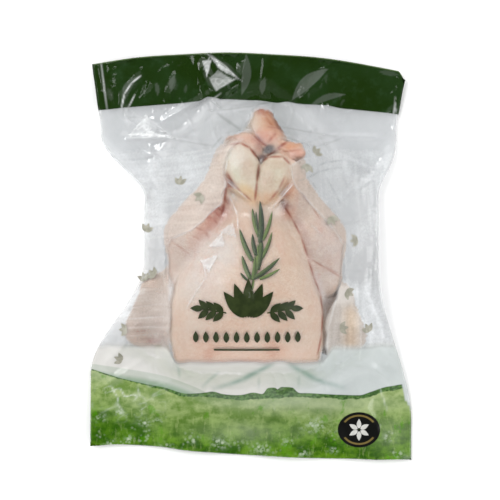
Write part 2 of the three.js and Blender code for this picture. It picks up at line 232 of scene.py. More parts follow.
def back(p):
    w, top = BACK_HALF_WIDTH, BACK_HEIGHT
    stations = [
        (NECK_END_Y + 7, -3, 0.55 * w, 10, 0.66 * top),
        (NECK_END_Y + 22, -3, 0.85 * w, -2, 0.86 * top),
        (-50, -2, w, -6, 0.94 * top),
        (0, 0, 0.97 * w, -6, top),
        (40, 2, 0.88 * w, -4, top),
        (80, 4, 0.73 * w, 0, top),
        (PELVIS_END_Y - 13, 6, 0.52 * w, 8, 0.86 * top),
        (PELVIS_END_Y, 6, 0.21 * w, 22, 0.66 * top),
    ]
    return sections(p, stations, 2.4)


def leg(p, ankle, muscle, knee):
    """Distance to a drumstick and thigh."""
    drumstick = limb(p, ankle, muscle, ANKLE_RADIUS, LEG_RADIUS)
    return blend(drumstick, limb(p, muscle, knee, LEG_RADIUS, KNEE_RADIUS), 12)


def chain(p, stations, fillet):
    """A bent limb through stations (x, y, z, radius)."""
    parts = [limb(p, a[:3], b[:3], a[3], b[3]) for a, b in zip(stations, stations[1:])]
    total = parts[0]
    for part in parts[1:]:
        total = blend(total, part, fillet)
    return total


def thigh_fill(p, side, middle_x):
    return lobe(p, (middle_x, 6, 42), (27, 52, 33), -6 * side)


def trunk_forms(p):
    """The back, the pelvis, the thighs and the lower flanks, each with its fillet to the forms before."""
    return [
        (back(p), 14),
        (lobe(p, (8, 98, 34), (42, 27, 33), 0), 14),
        (lobe(p, (4, 55, 55), (30, 28, 30), 0), 12),
        (thigh_fill(p, -1, -46), 12),
        (thigh_fill(p, 1, 49), 12),
        (lobe(p, (-42, 20, 25), (38, 50, 27), -10), 10),
        (lobe(p, (48, 16, 25), (41, 50, 27), 10), 10),
        (lobe(p, (-62, -44, 24), (40, 44, 23), 0), 10),
        (lobe(p, (60, -46, 24), (38, 42, 23), 0), 10),
        (lobe(p, (-3, -82, 26), (58, 24, 27), 0), 10),
    ]


def tail_forms(p):
    """The tail, its lobe at left, and the folds of skin that lead to it from each side."""
    return [
        (limb(p, (15.5, 115, 44), (13.8, 139, 34), 21, 9), 6),
        (limb(p, (5, 118, 40), (8, 141.5, 33), 15, 7.5), 5),
        (chain(p, [(-19, 113, 61, 7.5), (-6, 112, 67, 9.5), (4, 103.5, 71, 8.5)], 5), 1.5),
        (chain(p, [(31, 108, 62, 7), (46, 109, 57, 4.5)], 3), 2.5),
        (chain(p, [(30, 100, 66, 8), (47, 103, 58, 6)], 3), 2.5),
    ]


def wing_forms(p):
    """Each wing as a bent limb from the shoulder to the tip, with the skin between."""
    left = [(-66, -66, 40, 18), (-93, -27, 30, 13), (-108, -68, 25, 15), (-88, -84, 20, 11)]
    right = [(58, -70, 40, 18), (86, -36, 30, 13), (97, -74, 25, 15), (84, -90, 20, 10)]
    return [
        (chain(p, left, 8), 6),
        (lobe(p, (-90, -57, 24), (26, 30, 13), 0), 8),
        (chain(p, right, 8), 6),
        (lobe(p, (82, -64, 24), (24, 28, 13), 0), 8),
    ]


def leg_forms(p):
    """The legs, the skin beside their ankles, and the hocks tucked in over the breast's tip."""
    ankle_left, ankle_right = (-21.9, 88, 74), (35.1, 84.2, 74)
    left_hock = [(-12.5, 101, 79, 12.5), (-8.5, 87, 82, 16), (-2.5, 70, 84, 11.5), (2, 58, 84, 5.5)]
    right_hock = [(24, 89, 80, 12.5), (20, 79, 82, 14), (15, 68, 84, 10.5), (11.5, 58, 84, 5.5)]
    return [
        (leg(p, ankle_left, (-52.1, 23.5, 54), (-59.2, -9.4, 46)), 6),
        (leg(p, ankle_right, (60.7, 19.6, 54), (66.8, -15.2, 46)), 3.5),
        (limb(p, (-12, 100, 74), ankle_left, 11, 11), 4),
        (limb(p, (27, 88, 74), ankle_right, 11, 11), 4),
        (limb(p, (-26, 76, 82), (2, 54, 84), 3, 3), 5),
        (limb(p, (40, 72, 80), (21, 54, 83), 3, 3), 5),
        (chain(p, left_hock, 6), 1.5),
        (chain(p, right_hock, 6), 1.5),
    ]


def bird_distance(p):
    """Distance to the bird's skin, negative inside, with a dimple beside the tail."""
    total = breast(p)
    for form, fillet in trunk_forms(p) + tail_forms(p) + wing_forms(p) + leg_forms(p):
        total = blend(total, form, fillet)
    dimple = lobe(p, (17, 106, 72), (6.5, 4.5, 14), 25)
    return np.maximum(-blend(-total, dimple, 2), BIRD_FLOOR - p[2])


def bird_volume():
    """The bird's distance on a block of points, with the block's lowest corner."""
    axes = [np.arange(low, high, BIRD_STEP, dtype=np.float32) for low, high in zip(*BIRD_BLOCK)]
    return bird_distance(np.meshgrid(*axes, indexing="ij")), np.array(BIRD_BLOCK[0])


def top_heights(distance, low):
    """The height of the highest skin over each x, y of the block, or 0: widened, and narrowed."""
    inside = distance < 0
    last = inside.shape[2] - 1 - np.argmax(inside[:, :, ::-1], axis=2)
    last = np.minimum(last, inside.shape[2] - 2)
    below = np.take_along_axis(distance, last[:, :, None], 2)[:, :, 0]
    above = np.take_along_axis(distance, last[:, :, None] + 1, 2)[:, :, 0]
    height = low[2] + BIRD_STEP * (last + below / (below - above - 1e-9))
    height = np.where(inside.any(axis=2), height, 0)
    return among_neighbours(np.max, height), among_neighbours(np.min, height)


def among_neighbours(choose, grid):
    """The value chosen among each cell and its neighbours."""
    padded = np.pad(grid, 1)
    columns, rows = grid.shape
    return choose([padded[i:i + columns, j:j + rows] for i in range(3) for j in range(3)], axis=0)


def sample(grid, at_x, at_y):
    """Bilinear value of a grid at fractional indices, clamped to its edge."""
    fx = np.clip(at_x, 0, grid.shape[0] - 1.001)
    fy = np.clip(at_y, 0, grid.shape[1] - 1.001)
    i, j = fx.astype(int), fy.astype(int)
    a, b = fx - i, fy - j
    near = grid[i, j] * (1 - a) + grid[i + 1, j] * a
    far = grid[i, j + 1] * (1 - a) + grid[i + 1, j + 1] * a
    return near * (1 - b) + far * b


def height_over(grid, low):
    """A block's heights as a function of plan points, which gives 0 beside the block."""
    def height(x, y):
        fx, fy = (x - low[0]) / BIRD_STEP, (y - low[1]) / BIRD_STEP
        inside = (fx >= 0) & (fx <= grid.shape[0] - 1) & (fy >= 0) & (fy <= grid.shape[1] - 1)
        return inside * sample(grid, fx, fy)

    return height


# The film's plan and drape


def side_edge(side, y):
    """The x of the bag's left side, -1, or its right side, 1."""
    draw_in, start, full, pinch, taper = SIDES[side]
    beside_bird = smoothstep(start, full, y) * (1 - smoothstep(*DRAW_IN_END_Y, y))
    at_header = pinch * bell(y, PINCH_Y, PINCH_HALF_LENGTH) + taper * bell(y, TAPER_Y, TAPER_HALF_LENGTH)
    return side * (BAG_HALF_WIDTH - draw_in * beside_bird - at_header)


def across_bag(x, y):
    """Where x lies between the bag's sides at y, from -1 to 1."""
    left, right = side_edge(-1, y), side_edge(1, y)
    return 2 * (x - left) / (right - left) - 1


def end_edges(s):
    """The y of the bag's bottom and top edges, where s runs across it from -1 to 1."""
    top = TOP_Y - TOP_ARCH * s * s + TOP_SLANT * s - CORNER_CUT * smoothstep(CORNER_CUT_FROM, 1, s)
    return through(BOTTOM_EDGE, s), top


def crowded(even):
    """Even steps from -1 to 1, drawn towards the middle."""
    return even * (1 - CENTRE_CROWDING) + CENTRE_CROWDING * even ** 3


def plan(columns, rows):
    """The plan x, y of every point of a film grid."""
    s = crowded(np.linspace(-1, 1, columns + 1))[:, None] * np.ones((1, rows + 1))
    t = np.linspace(0, 1, rows + 1)[None, :] * np.ones((columns + 1, 1))
    bottom, top = end_edges(s)
    y = bottom + t * (top - bottom)
    left, right = side_edge(-1, y), side_edge(1, y)
    return left + (s + 1) / 2 * (right - left), y


def seam_height(x, y):
    """The height of the bag's rim, which lifts beside the bird and waves a little."""
    lift = WAIST_LIFT * np.exp(-(np.abs(y / WAIST_LIFT_HALF) ** 3))
    wave = SEAM_WAVE * np.sin(2 * math.pi * (x + 0.6 * y) / SEAM_WAVE_LENGTH + 1)
    return SEAM_HEIGHT + TOP_LIFT * bell(y, TOP_LIFT_Y, TOP_LIFT_HALF) + lift + wave


def resize(grid, columns, rows):
    at_x = np.linspace(0, grid.shape[0] - 1, columns + 1)[:, None] * np.ones((1, rows + 1))
    at_y = np.linspace(0, grid.shape[1] - 1, rows + 1)[None, :] * np.ones((columns + 1, 1))
    return sample(grid, at_x, at_y)


def relax(height, held_up, seam, load, steps):
    """Draws the film down between its pinned rim and what holds it up."""
    lowest = np.maximum(held_up, np.minimum(seam, LOWEST_FILM))[1:-1, 1:-1]
    height = np.maximum(height, held_up)
    for edge in RIM:
        height[edge] = seam[edge]
    for _ in range(steps):
        around = height[2:, 1:-1] + height[:-2, 1:-1] + height[1:-1, 2:] + height[1:-1, :-2]
        height[1:-1, 1:-1] = np.maximum(around / 4 - load, lowest)
    return height


def drape(obstacle):
    """The film's plan and height over an obstacle(x, y), from a coarse grid to the fine one."""
    height = None
    for columns, rows, steps in DRAPE_LEVELS:
        x, y = plan(columns, rows)
        seam = seam_height(x, y)
        height = seam.copy() if height is None else resize(height, columns, rows)
        cell = np.gradient(x, axis=0) * np.gradient(y, axis=1)
        height = relax(height, obstacle(x, y), seam, SUCTION * cell[1:-1, 1:-1] / 4, steps)
    return x, y, height


# The film's folds and wrinkles

# Each fold is x, y at each of its points, height and half width.
FOLDS = [
    (-152, 176, -146, 160, 1.5, 5), (-141, 171, -133, 149, 2, 5),
    (-110, 183, -126, 165, -127, 145, 2.6, 3.5), (-127, 145, -118, 132, 2.2, 3.5),
    (-104, 163, -95, 174, 1.8, 4), (-82, 159, -74, 184, 2, 4), (-44, 206, -14, 181, 3, 4),
    (-48, 196, -34, 169, 3, 4), (-34, 169, -14, 181, 2.4, 4), (-16, 160, -3, 204, 2.4, 6),
    (12, 160, 22, 181, 1.8, 5), (46, 157, 80, 191, 2.8, 6), (76, 152, 97, 163, 2, 5),
    (127, 190, 149, 168, 1.5, 5), (134, 144, 151, 154, 1.8, 4), (-149, 197, -142, 149, 1.6, 2.2),
    (147, 190, 144, 120, 1.6, 3), (-123, 139, -98, 121, 2, 3), (-112, 142, -80, 122, 2.2, 3),
    (-123, 121, -76, 122, 2.4, 2.6), (-76, 122, -34, 113, 2.4, 3), (-41, 165, -86, 140, 2.4, 3.5),
    (-41, 165, -17, 128, 2.4, 3.5), (-34, 149, 8, 152, 40, 158, 1.8, 3),
    (38, 131, 53, 115, 84, 123, 133, 122, 2, 3), (77, 93, 96, 100, 125, 86, 2.2, 3),
    (-150, -130, -104, -96, 2.5, 4), (148, -128, 110, -98, 2.5, 4), (-62, -124, -34, -104, 1.8, 4),
    (62, -124, 22, -100, 1.8, 4), (128, 84, 126, -30, 2, 4), (112, 88, 118, 10, 1.6, 3),
    (-96, 60, -100, -10, 1.6, 3), (96, -58, 140, -100, 2, 4), (-110, -60, -146, -104, 2, 4),
    (-22.7, 62, -15, 50, -12.7, 29.6, 0.7, 1.6), (-45.8, 0, -41.6, -15, -57.9, -43, 0.7, 1.6),
]

# Flat facets of crumpled film: x, y, half length, half width, turn in degrees, slope and where it leans.
FACETS = [
    (-28, 193, 19, 3, -40, 0.21, 145), (-44, 190, 8, 4, -100, 0.21, 145),
    (-29, 175, 10, 7, -35, 0.21, 145), (-23, 165, 9, 3.5, 30, 0.3, 200),
    (-107, 171, 13, 2.5, 62, 0.3, 160), (141, 168, 6, 2, 20, 0.21, 145),
    (-104, 135, 20, 8, -25, 0.21, 145), (-85, 127, 14, 3, -35, 0.21, 145),
    (-35, 30, 7, 3, -70, 0.12, 145), (-45, 8, 8, 3, -50, 0.12, 145),
]

# Painted highlights on crumpled patches where the film looks white: x, y, half length, half width, turn in
# degrees, strength.
PAINTED_HIGHLIGHT_PATCHES = [
    (-26, 12, 22, 16, -50, 0.16), (-105, 126, 14, 3, -20, 0.4), (-92, 124, 9, 3, 10, 0.4),
    (-120, 140, 9, 2.4, 70, 0.35), (-106, 137, 12, 2.2, -38, 0.4), (-126, 126, 5, 3, 20, 0.4),
    (143, 150, 8, 1.6, 80, 0.35), (150, 138, 7, 1.6, 70, 0.3), (-106, -30, 6, 3, 50, 0.25),
]

# Painted highlights on crumpled triangles where the film shines: three corners and the strength.
PAINTED_GLINT_TRIANGLES = [
    ((-40, 13), (-27, 27), (-24, 13), 0.6), ((-30, 27), (-17, 36), (-14, 22), 0.45),
    ((-48, 0), (-31, 6), (-39, -11), 0.6), ((-43.5, 206), (-12, 180), (-30, 189), 0.6),
    ((-48, 198), (-39, 199), (-44, 183), 0.6), ((-41, 181), (-35, 168), (-17, 179), 0.45),
    ((-41, 181), (-17, 179), (-33, 189), 0.3), ((-104, 147), (-124, 121), (-98, 130), 0.65),
    ((-124, 125), (-76, 121), (-100, 129), 0.9),
]

# Painted reflections in the header, each a bowed sliver where the film shines a little: x, y, x, y, half
# width, bow and strength.
PAINTED_SHEEN_SLIVERS = [
    (-110, 184, -127, 155, 4.5, -5, 0.05), (-95, 178, -93, 163, 2.6, 1, 0.045),
    (-76, 185, -79, 167, 4, -1, 0.055), (-5, 207, -10, 162, 5, 3, 0.05),
    (14, 183, 11, 163, 3.6, -1, 0.045), (40, 158, 78, 191, 6.5, 4, 0.06),
    (56, 151, 97, 165, 3.6, 4, 0.05), (-143, 172, -138, 157, 3.4, 0, 0.03),
    (-64, 176, -66, 165, 2, 0, 0.03), (126, 188, 148, 184, 3, 0, 0.03),
]

# Pale lines, partly where the film is folded on itself and partly painted highlights along its creases: x,
# y at each point, half width and strength.
FOLD_WHITE_AND_GLINT_LINES = [
    (-21.4, 62, -17, 53.5, 0.8, 0.45), (-17, 53.5, -12.7, 42, 0.8, 0.5),
    (-12.7, 42, -12.4, 30, 0.8, 0.45), (-25, 77, -12.4, 66, 0.9, 0.45), (-12.4, 66, -3.8, 58.3, 0.9, 0.4),
    (-45.8, 0, -41.6, -15, 0.8, 0.45), (-41.6, -15, -53, -31, 0.8, 0.3), (-53, -31, -60, -44, 0.8, 0.35),
    (41, 74, 27.4, 58.3, 1, 0.5), (27.4, 58.3, 20, 50, 1, 0.3), (53, 38, 70, 20, 0.9, 0.2),
    (-110, 183, -119, 176, -126, 165, -128.5, 152, 0.8, 0.7), (-128.5, 152, -123, 137, 0.8, 0.6),
    (-116, 164, -122, 152, -114, 144, 0.7, 0.5), (-114, 144, -100, 139, 0.8, 0.5),
    (-100, 139, -77, 122, 0.9, 0.65), (-123, 122, -77, 122, 0.9, 0.55), (-104, 146, -123, 122, 0.7, 0.4),
    (-43, 205, -27, 194, 0.8, 0.55), (-27, 194, -13, 180, 0.8, 0.6), (-40, 204, -47, 190, 0.7, 0.4),
    (-41, 181, -18, 179, 0.7, 0.45), (-41, 181, -35, 169, -14, 181, 0.7, 0.45),
    (-149, 196, -143, 149, 0.6, 0.3), (-48, 153, -30, 166, 0.8, 0.3), (114, 88, 119, 20, 0.9, 0.4),
    (104, 96, 108, 30, 0.8, 0.3), (124, 60, 127, -30, 0.9, 0.35), (-21, -99, 39, -96, 0.9, 0.3),
    (-126, -58, -84, -54, 0.8, 0.35), (-128, -66, -80, -64, 0.8, 0.35), (-120, -47, -86, -42, 0.7, 0.25),
    (-124, -74, -84, -71, 0.7, 0.3), (39, -96, 71, -97, 0.9, 0.3), (128, -126, 136, -150, 0.8, 0.25),
    (83, -34, 74, -66, 0.9, 0.5), (74, -66, 73, -98, 0.9, 0.45), (100, -46, 129, -82, 1.2, 0.3),
    (107, -62, 107, -98, 0.8, 0.3),
]
# The same for grey lines of painted shade in the film's creases and beside the legs.
PAINTED_CREASE_SHADE_LINES = [
    (-41, 162, -60, 150, 1.1, 0.35), (-41, 162, -30, 150, 1.3, 0.35), (-34, 146, -11, 126, 1.3, 0.5),
    (-43, 149, -34, 148, 1, 0.3), (-34, 148, 4, 151, 0.9, 0.35), (4, 151, 24, 157, 0.9, 0.3),
    (30, 129, 64, 126, 1, 0.3), (64, 126, 84, 123, 1, 0.25), (36, 117, 60, 110, 1.1, 0.35),
    (60, 110, 92, 122, 1, 0.25), (-76, 120, -34, 110, 1, 0.3), (-36, 110, -28, 119, 1, 0.45),
    (-38, 108, -31, 115, 0.9, 0.3), (-78, 40, -84, -20, 1, 0.2), (66.7, 92.2, 74.4, 97, 1, 0.35),
    (74.4, 97, 90.9, 99, 1, 0.3), (43.5, 74.8, 52.2, 77.7, 0.9, 0.3),
    (52.2, 77.7, 66.7, 86.4, 79.3, 90.3, 1, 0.35), (79.3, 90.3, 91, 92.2, 1, 0.25),
    (73.5, 80.6, 84, 63.2, 1.2, 0.3), (84, 63.2, 87, 54.5, 1.2, 0.35),
    (-24.5, 78.6, -11.5, 67.4, 0.7, 0.35), (39.5, 75, 26, 59.8, 0.7, 0.35),
    (-24, 63, -15.5, 44, 0.7, 0.2),
]
# The same for soft blue-green strokes in the frosted band.
TEAL_LINES = [
    (20, -99, 3, -109, 2.8, 0.75), (10, -105, -11, -118, 3.2, 0.85), (-3, -114, -24, -123, 2.8, 0.7),
    (-14, -119, -36, -127, 2.6, 0.45), (-31.6, -108.6, -43, -119, 1.9, 0.4),
    (-38, -114, -48, -125, 1.9, 0.35), (37, -99, 52, -110, 2.8, 0.7), (46, -105, 66, -119, 3.2, 0.85),
    (58, -115, 77, -123, 2.8, 0.65), (68, -120, 92, -127, 2.6, 0.45),
    (-70.4, -102, -70.4, -115, 1.6, 0.4), (7.7, -114, 7.7, -126, 1.6, 0.3),
    (47, -111, 47, -125, 1.6, 0.3),
]


def value_noise(x, y, seed, cells=64):
    """Smooth noise from 0 to 1 on a seeded lattice of unit cells."""
    lattice = np.random.default_rng(seed).random((cells, cells))
    i, j = np.floor(x).astype(int), np.floor(y).astype(int)
    a, b = x - i, y - j
    a, b = a * a * (3 - 2 * a), b * b * (3 - 2 * b)

    def at(column, row):
        return lattice[column % cells, row % cells]

    near = at(i, j) * (1 - a) + at(i + 1, j) * a
    far = at(i, j + 1) * (1 - a) + at(i + 1, j + 1) * a
    return near * (1 - b) + far * b


def ridges(x, y, seed, sharpness=3):
    """Narrow ridges from 0 to 1 along the middle values of the noise."""
    return (1 - np.abs(2 * value_noise(x, y, seed) - 1)) ** sharpness


def along_line(x, y, x0, y0, x1, y1):
    """The share of the way along a line, and the distance away from it."""
    dx, dy = x1 - x0, y1 - y0
    t = clamp01(((x - x0) * dx + (y - y0) * dy) / (dx * dx + dy * dy))
    return t, np.hypot(x - x0 - t * dx, y - y0 - t * dy)


def beside_line(x, y, x0, y0, x1, y1):
    """The distance to the left of a line that runs on at both ends, negative to the right."""
    return ((x1 - x0) * (y - y0) - (y1 - y0) * (x - x0)) / math.hypot(x1 - x0, y1 - y0)


def stretches(bent_lines):
    """Each straight stretch of some bent lines, with its line's two values."""
    for *flat, first, second in bent_lines:
        points = list(zip(flat[::2], flat[1::2]))
        for start, end in zip(points, points[1:]):
            yield (*start, *end), first, second


def tent(away, half_width):
    """1 on a fold's ridge, with flat flanks and a short foot."""
    return np.maximum(1 - away / (1.5 * half_width), 0) ** 1.15


def fold_relief(x, y):
    relief = np.zeros_like(x)
    for line, height, half_width in stretches(FOLDS):
        t, away = along_line(x, y, *line)
        relief = relief + height * np.sin(math.pi * (0.1 + 0.8 * t)) * tent(away, half_width)
    return relief


def lozenge(x, y, px, py, half_length, half_width, turn, softness=0.15):
    """1 inside a lozenge with ragged edges and 0 outside it."""
    ragged = 0.5 * value_noise(x / 4, y / 4, 17) - 0.25
    dx, dy = turned(x - px, y - py, turn)
    out = np.abs(dx / half_length) + np.abs(dy / half_width) + ragged
    return smoothstep(1 + softness, 1 - softness, out)


def facet_relief(x, y):
    """Small flat leaning patches, broken up along their edges."""
    relief = np.zeros_like(x)
    for *shape, slope, leans in FACETS:
        fall = turned(x - shape[0], y - shape[1], leans)[0]
        relief = relief - lozenge(x, y, *shape) * slope * fall
    return relief


def painted_highlight_marks(x, y):
    """The strength of the painted highlights, over small crumpled patches and triangles."""
    strongest = np.zeros_like(x)
    for *shape, strength in PAINTED_HIGHLIGHT_PATCHES:
        strongest = np.maximum(strongest, strength * lozenge(x, y, *shape, 0.5))
    for *corners, strength in PAINTED_GLINT_TRIANGLES:
        streaks = 0.6 + 0.4 * ridges((x + y) / 7, (x - y) / 4, 18, 2)
        strongest = np.maximum(strongest, strength * streaks * triangle(x, y, corners))
    return strongest


def painted_sheen_slivers(x, y):
    """Painted sheen: bowed shapes, pointed at both ends, with clean edges."""
    strongest = np.zeros_like(x)
    for *line, half_width, bow, strength in PAINTED_SHEEN_SLIVERS:
        swell = np.sin(math.pi * along_line(x, y, *line)[0])
        within = half_width * swell - np.abs(beside_line(x, y, *line) - bow * swell)
        strongest = np.maximum(strongest, strength * smoothstep(0, 0.8, within))
    return strongest


def triangle(x, y, corners):
    """1 inside a triangle with ragged edges and 0 outside it."""
    ragged = 2 * value_noise(x / 3, y / 3, 19) - 1
    inward = []
    for first, second, third in (corners, corners[1:] + corners[:1], corners[2:] + corners[:2]):
        facing = beside_line(*third, *first, *second)
        inward.append(beside_line(x, y, *first, *second) * math.copysign(1, facing))
    return smoothstep(-0.6, 0.6, np.min(inward, axis=0) + 0.6 * ragged)


def line_marks(x, y, lines):
    """The strength of the nearest of some soft lines."""
    strongest = np.zeros_like(x)
    for line, half_width, strength in stretches(lines):
        t, away = along_line(x, y, *line)
        fade = np.sin(math.pi * (0.15 + 0.7 * t))
        strongest = np.maximum(strongest, strength * fade * bell(away, 0, half_width))
    return strongest


def wrinkle_relief(x, y, gap):
    """Wrinkles that run out from the bird, and finer crumples, where the film is clear of the bird."""
    slack = smoothstep(1, 12, gap) * smoothstep(0.7, 1.3, np.hypot((x - 35) / 14, (y - 50) / 20))
    out_x, out_y = x - WRINKLE_CENTRE[0], y - WRINKLE_CENTRE[1]
    angle, reach = np.arctan2(out_y, out_x), np.hypot(out_x, out_y)
    warp = 6 * value_noise(x / 30, y / 30, 11)
    radial = ridges(angle * 9 + 0.15 * warp, reach / 60 + 0.1 * warp, 12, 4)
    crumple = ridges((x + warp) / 17, (y - warp) / 22, 13, 5) + 0.5 * ridges(x / 8, y / 9, 14, 5)
    return slack * (2.1 * radial + 1.0 * crumple) + 0.25 * (1 - slack) * ridges(x / 26, y / 19, 15, 8)


# Meshes


def plan_shift():
    """How far the plan is moved, so that the middle of the bag is over the middle of the frame's box."""
    bottom, top = end_edges(np.linspace(-1, 1, 401))
    middle_x, middle_y = ((cad_box[0][k] + cad_box[1][k]) / 2 / MM for k in (0, 1))
    return np.array([middle_x, middle_y - (top.max() + bottom.min()) / 2, 0.0])


SHIFT = plan_shift()


def place(points):
    """Plan millimetres to the frame's metres."""
    return (np.asarray(points, float) + SHIFT) * MM


def mesh_object(name, points, faces, material):
    """A smooth mesh that rides on the one body, with its material."""
    mesh = bpy.data.meshes.new(name)
    mesh.from_pydata(place(points).tolist(), [], [list(face) for face in faces])
    mesh.polygons.foreach_set("use_smooth", [True] * len(mesh.polygons))
    mesh.materials.append(material)
    made = bpy.data.objects.new(name, mesh)
    bpy.context.scene.collection.objects.link(made)
    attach(made, "root")
    return made


def point_number(made, name, values):
    attribute = made.data.attributes.new(name, "FLOAT", "POINT")
    attribute.data.foreach_set("value", np.ravel(values).astype(np.float32))


def point_colour(made, name, colours):
    attribute = made.data.attributes.new(name, "FLOAT_COLOR", "POINT")
    full = np.concatenate([colours, np.ones((len(colours), 1))], 1)
    attribute.data.foreach_set("color", full.astype(np.float32).ravel())


# Materials


class Nodes:
    """A material's nodes, made and joined in short calls."""

    def __init__(self, name):
        self.material = bpy.data.materials.new(name)
        self.material.use_nodes = True
        self.tree = self.material.node_tree
        self.tree.nodes.clear()

    def add(self, kind, **inputs):
        node = self.tree.nodes.new("ShaderNode" + kind)
        for key, value in inputs.items():
            self.put(node.inputs[key.replace("_", " ")], value)
        return node

    def put(self, socket, value):
        if isinstance(value, bpy.types.NodeSocket):
            self.tree.links.new(value, socket)
        else:
            socket.default_value = value

    def number(self, name, output="Fac"):
        node = self.add("Attribute")
        node.attribute_name = name
        return node.outputs[output]

    def colour(self, name):
        return self.number(name, "Color")

    def math(self, operation, *values):
        node = self.add("Math")
        node.operation = operation
        for socket, value in zip(node.inputs, values):
            self.put(socket, value)
        return node.outputs[0]

    def times(self, a, b):
        return self.math("MULTIPLY", a, b)

    def without(self, share):
        return self.math("SUBTRACT", 1.0, share)

    def most(self, greatest, *others):
        for other in others:
            greatest = self.math("MAXIMUM", greatest, other)
        return greatest

    def step(self, value, low, high):
        """0 below low and 1 above high, smooth between."""
        node = self.add("MapRange", Value=value, From_Min=low, From_Max=high)
        node.interpolation_type = "SMOOTHSTEP"
        return node.outputs["Result"]

    def mix(self, share, a, b, kind="MIX"):
        node = self.add("Mix")
        node.data_type = "RGBA"
        node.blend_type = kind
        for socket, value in ((node.inputs[0], share), (node.inputs[6], a), (node.inputs[7], b)):
            self.put(socket, value)
        return node.outputs[2]

    def over(self, colour, share, strength, tone, kind="MIX"):
        """A colour with a tone laid over it."""
        return self.mix(self.times(share, strength), colour, tone, kind)

    def noise(self, scale, detail=3.0, rough=0.5, stretch=(1, 1, 1)):
        """Noise over the object's own metres."""
        where = self.add("Mapping", Vector=self.add("TexCoord").outputs["Object"], Scale=stretch)
        made = self.add("TexNoise", Vector=where.outputs[0], Scale=scale, Detail=detail, Roughness=rough)
        return made.outputs["Fac"]

    def cells(self, scale):
        """Distance to the nearest of many scattered points."""
        where = self.add("TexCoord").outputs["Object"]
        return self.add("TexVoronoi", Vector=where, Scale=scale).outputs["Distance"]

    def bump(self, height, strength, distance, **below):
        return self.add("Bump", Height=height, Strength=strength, Distance=distance, **below).outputs[0]

    def mix_shaders(self, share, first, second):
        node = self.add("MixShader", Fac=share)
        self.put(node.inputs[1], first.outputs[0])
        self.put(node.inputs[2], second.outputs[0])
        return node

    def plain(self, colour, rough, specular, **more):
        """The whole material as one shader of this colour."""
        more.update(Base_Color=colour, Roughness=rough, Specular_IOR_Level=specular)
        return self.finish(self.add("BsdfPrincipled", **more))

    def finish(self, shader):
        self.add("OutputMaterial", Surface=shader.outputs[0])
        return self.material


def rgb(red, green, blue):
    """A colour given in 0 to 255 screen values, as linear light."""
    share = np.array([red, green, blue]) / 255
    linear = np.where(share <= 0.04045, share / 12.92, ((share + 0.055) / 1.055) ** 2.4)
    return (*linear.tolist(), 1)


def seen(share, red, green, blue):
    """A colour given as it looks in the light here, of which the surface sends back this share."""
    return (*(share * np.array(rgb(red, green, blue)[:3])).tolist(), 1)


def ink(red, green, blue):
    return seen(INK_SHARE, red, green, blue)


def skin(red, green, blue):
    return seen(SKIN_SHARE, red, green, blue)


def film_tone(red, green, blue):
    return seen(FILM_SHARE, red, green, blue)


def skin_material():
    n = Nodes("raw_skin")
    blotch = n.step(n.noise(38, 5, 0.6), 0.38, 0.68)
    vein = n.step(n.noise(90, 5, 0.65, (1, 0.35, 1)), 0.56, 0.72)
    fleck = n.step(n.noise(260, 4, 0.6), 0.42, 0.72)
    grain = n.step(n.noise(650, 3, 0.7), 0.35, 0.65)
    colour = n.over(n.colour("tint"), blotch, 0.35, rgb(246, 214, 196), "MULTIPLY")
    colour = n.over(colour, vein, 0.28, skin(214, 156, 140))
    colour = n.over(colour, fleck, 0.22, skin(246, 232, 214))
    colour = n.over(colour, grain, 0.35, rgb(222, 208, 200), "MULTIPLY")
    # Painted shade: the creases are darkened in colour.
    colour = n.mix(n.number("groove_and_painted_shade"), colour, rgb(196, 128, 108), "MULTIPLY")
    uneven = n.bump(n.noise(75, 6, 0.65), 0.4, 0.0018)
    pores = n.bump(n.cells(420), 0.22, 0.0006, Normal=uneven)
    depth = {"Subsurface_Weight": 0.08, "Subsurface_Radius": (1, 0.35, 0.2), "Subsurface_Scale": 0.005}
    return n.plain(colour, 0.6, 0.25, Normal=pores, **depth)


def needle_material():
    n = Nodes("needle_green")
    shade = n.step(n.noise(260, 2, 0.5), 0.3, 0.7)
    dark, rib, leaf = (seen(NEEDLE_SHARE, *tone) for tone in ((24, 46, 12), (146, 170, 92), (44, 76, 20)))
    colour = n.over(n.mix(n.number("midrib_and_painted_light"), dark, rib), shade, 0.3, leaf)
    return n.plain(colour, 0.5, 0.12, Normal=n.bump(n.noise(600, 2), 0.2, 0.0004))


def print_material(name, dark, pale):
    """Ink on the film, slightly uneven."""
    n = Nodes(name)
    colour = n.mix(n.step(n.noise(160, 3), 0.35, 0.7), dark, pale)
    return n.plain(colour, 0.4, 0.2, Normal=n.bump(n.noise(300, 2), 0.1, 0.0003))


def label_material():
    """A black disc with a gold arc above and below."""
    n = Nodes("label_ink")
    radius = n.number("radius")
    ring = n.times(n.step(radius, 0.74, 0.77), n.step(radius, 0.87, 0.84))
    arcs = n.times(ring, n.step(n.number("upright"), 0.5, 0.58))
    gold = n.mix(n.noise(500, 2), ink(112, 96, 50), ink(140, 122, 70))
    return n.plain(n.mix(arcs, ink(9, 10, 8), gold), 0.35, 0.2)


def header_colour(n):
    """Dark green, paler in mottled spots, with a light rim along the bag's edge."""
    green = n.mix(n.step(n.noise(24, 4), 0.35, 0.65), ink(31, 53, 14), ink(37, 61, 27))
    green = n.over(green, n.step(n.noise(75, 4, 0.6), 0.52, 0.8), 0.3, ink(62, 90, 62))
    return n.over(green, n.step(n.number("rim"), 1.5, 0.4), 0.5, ink(132, 158, 104))


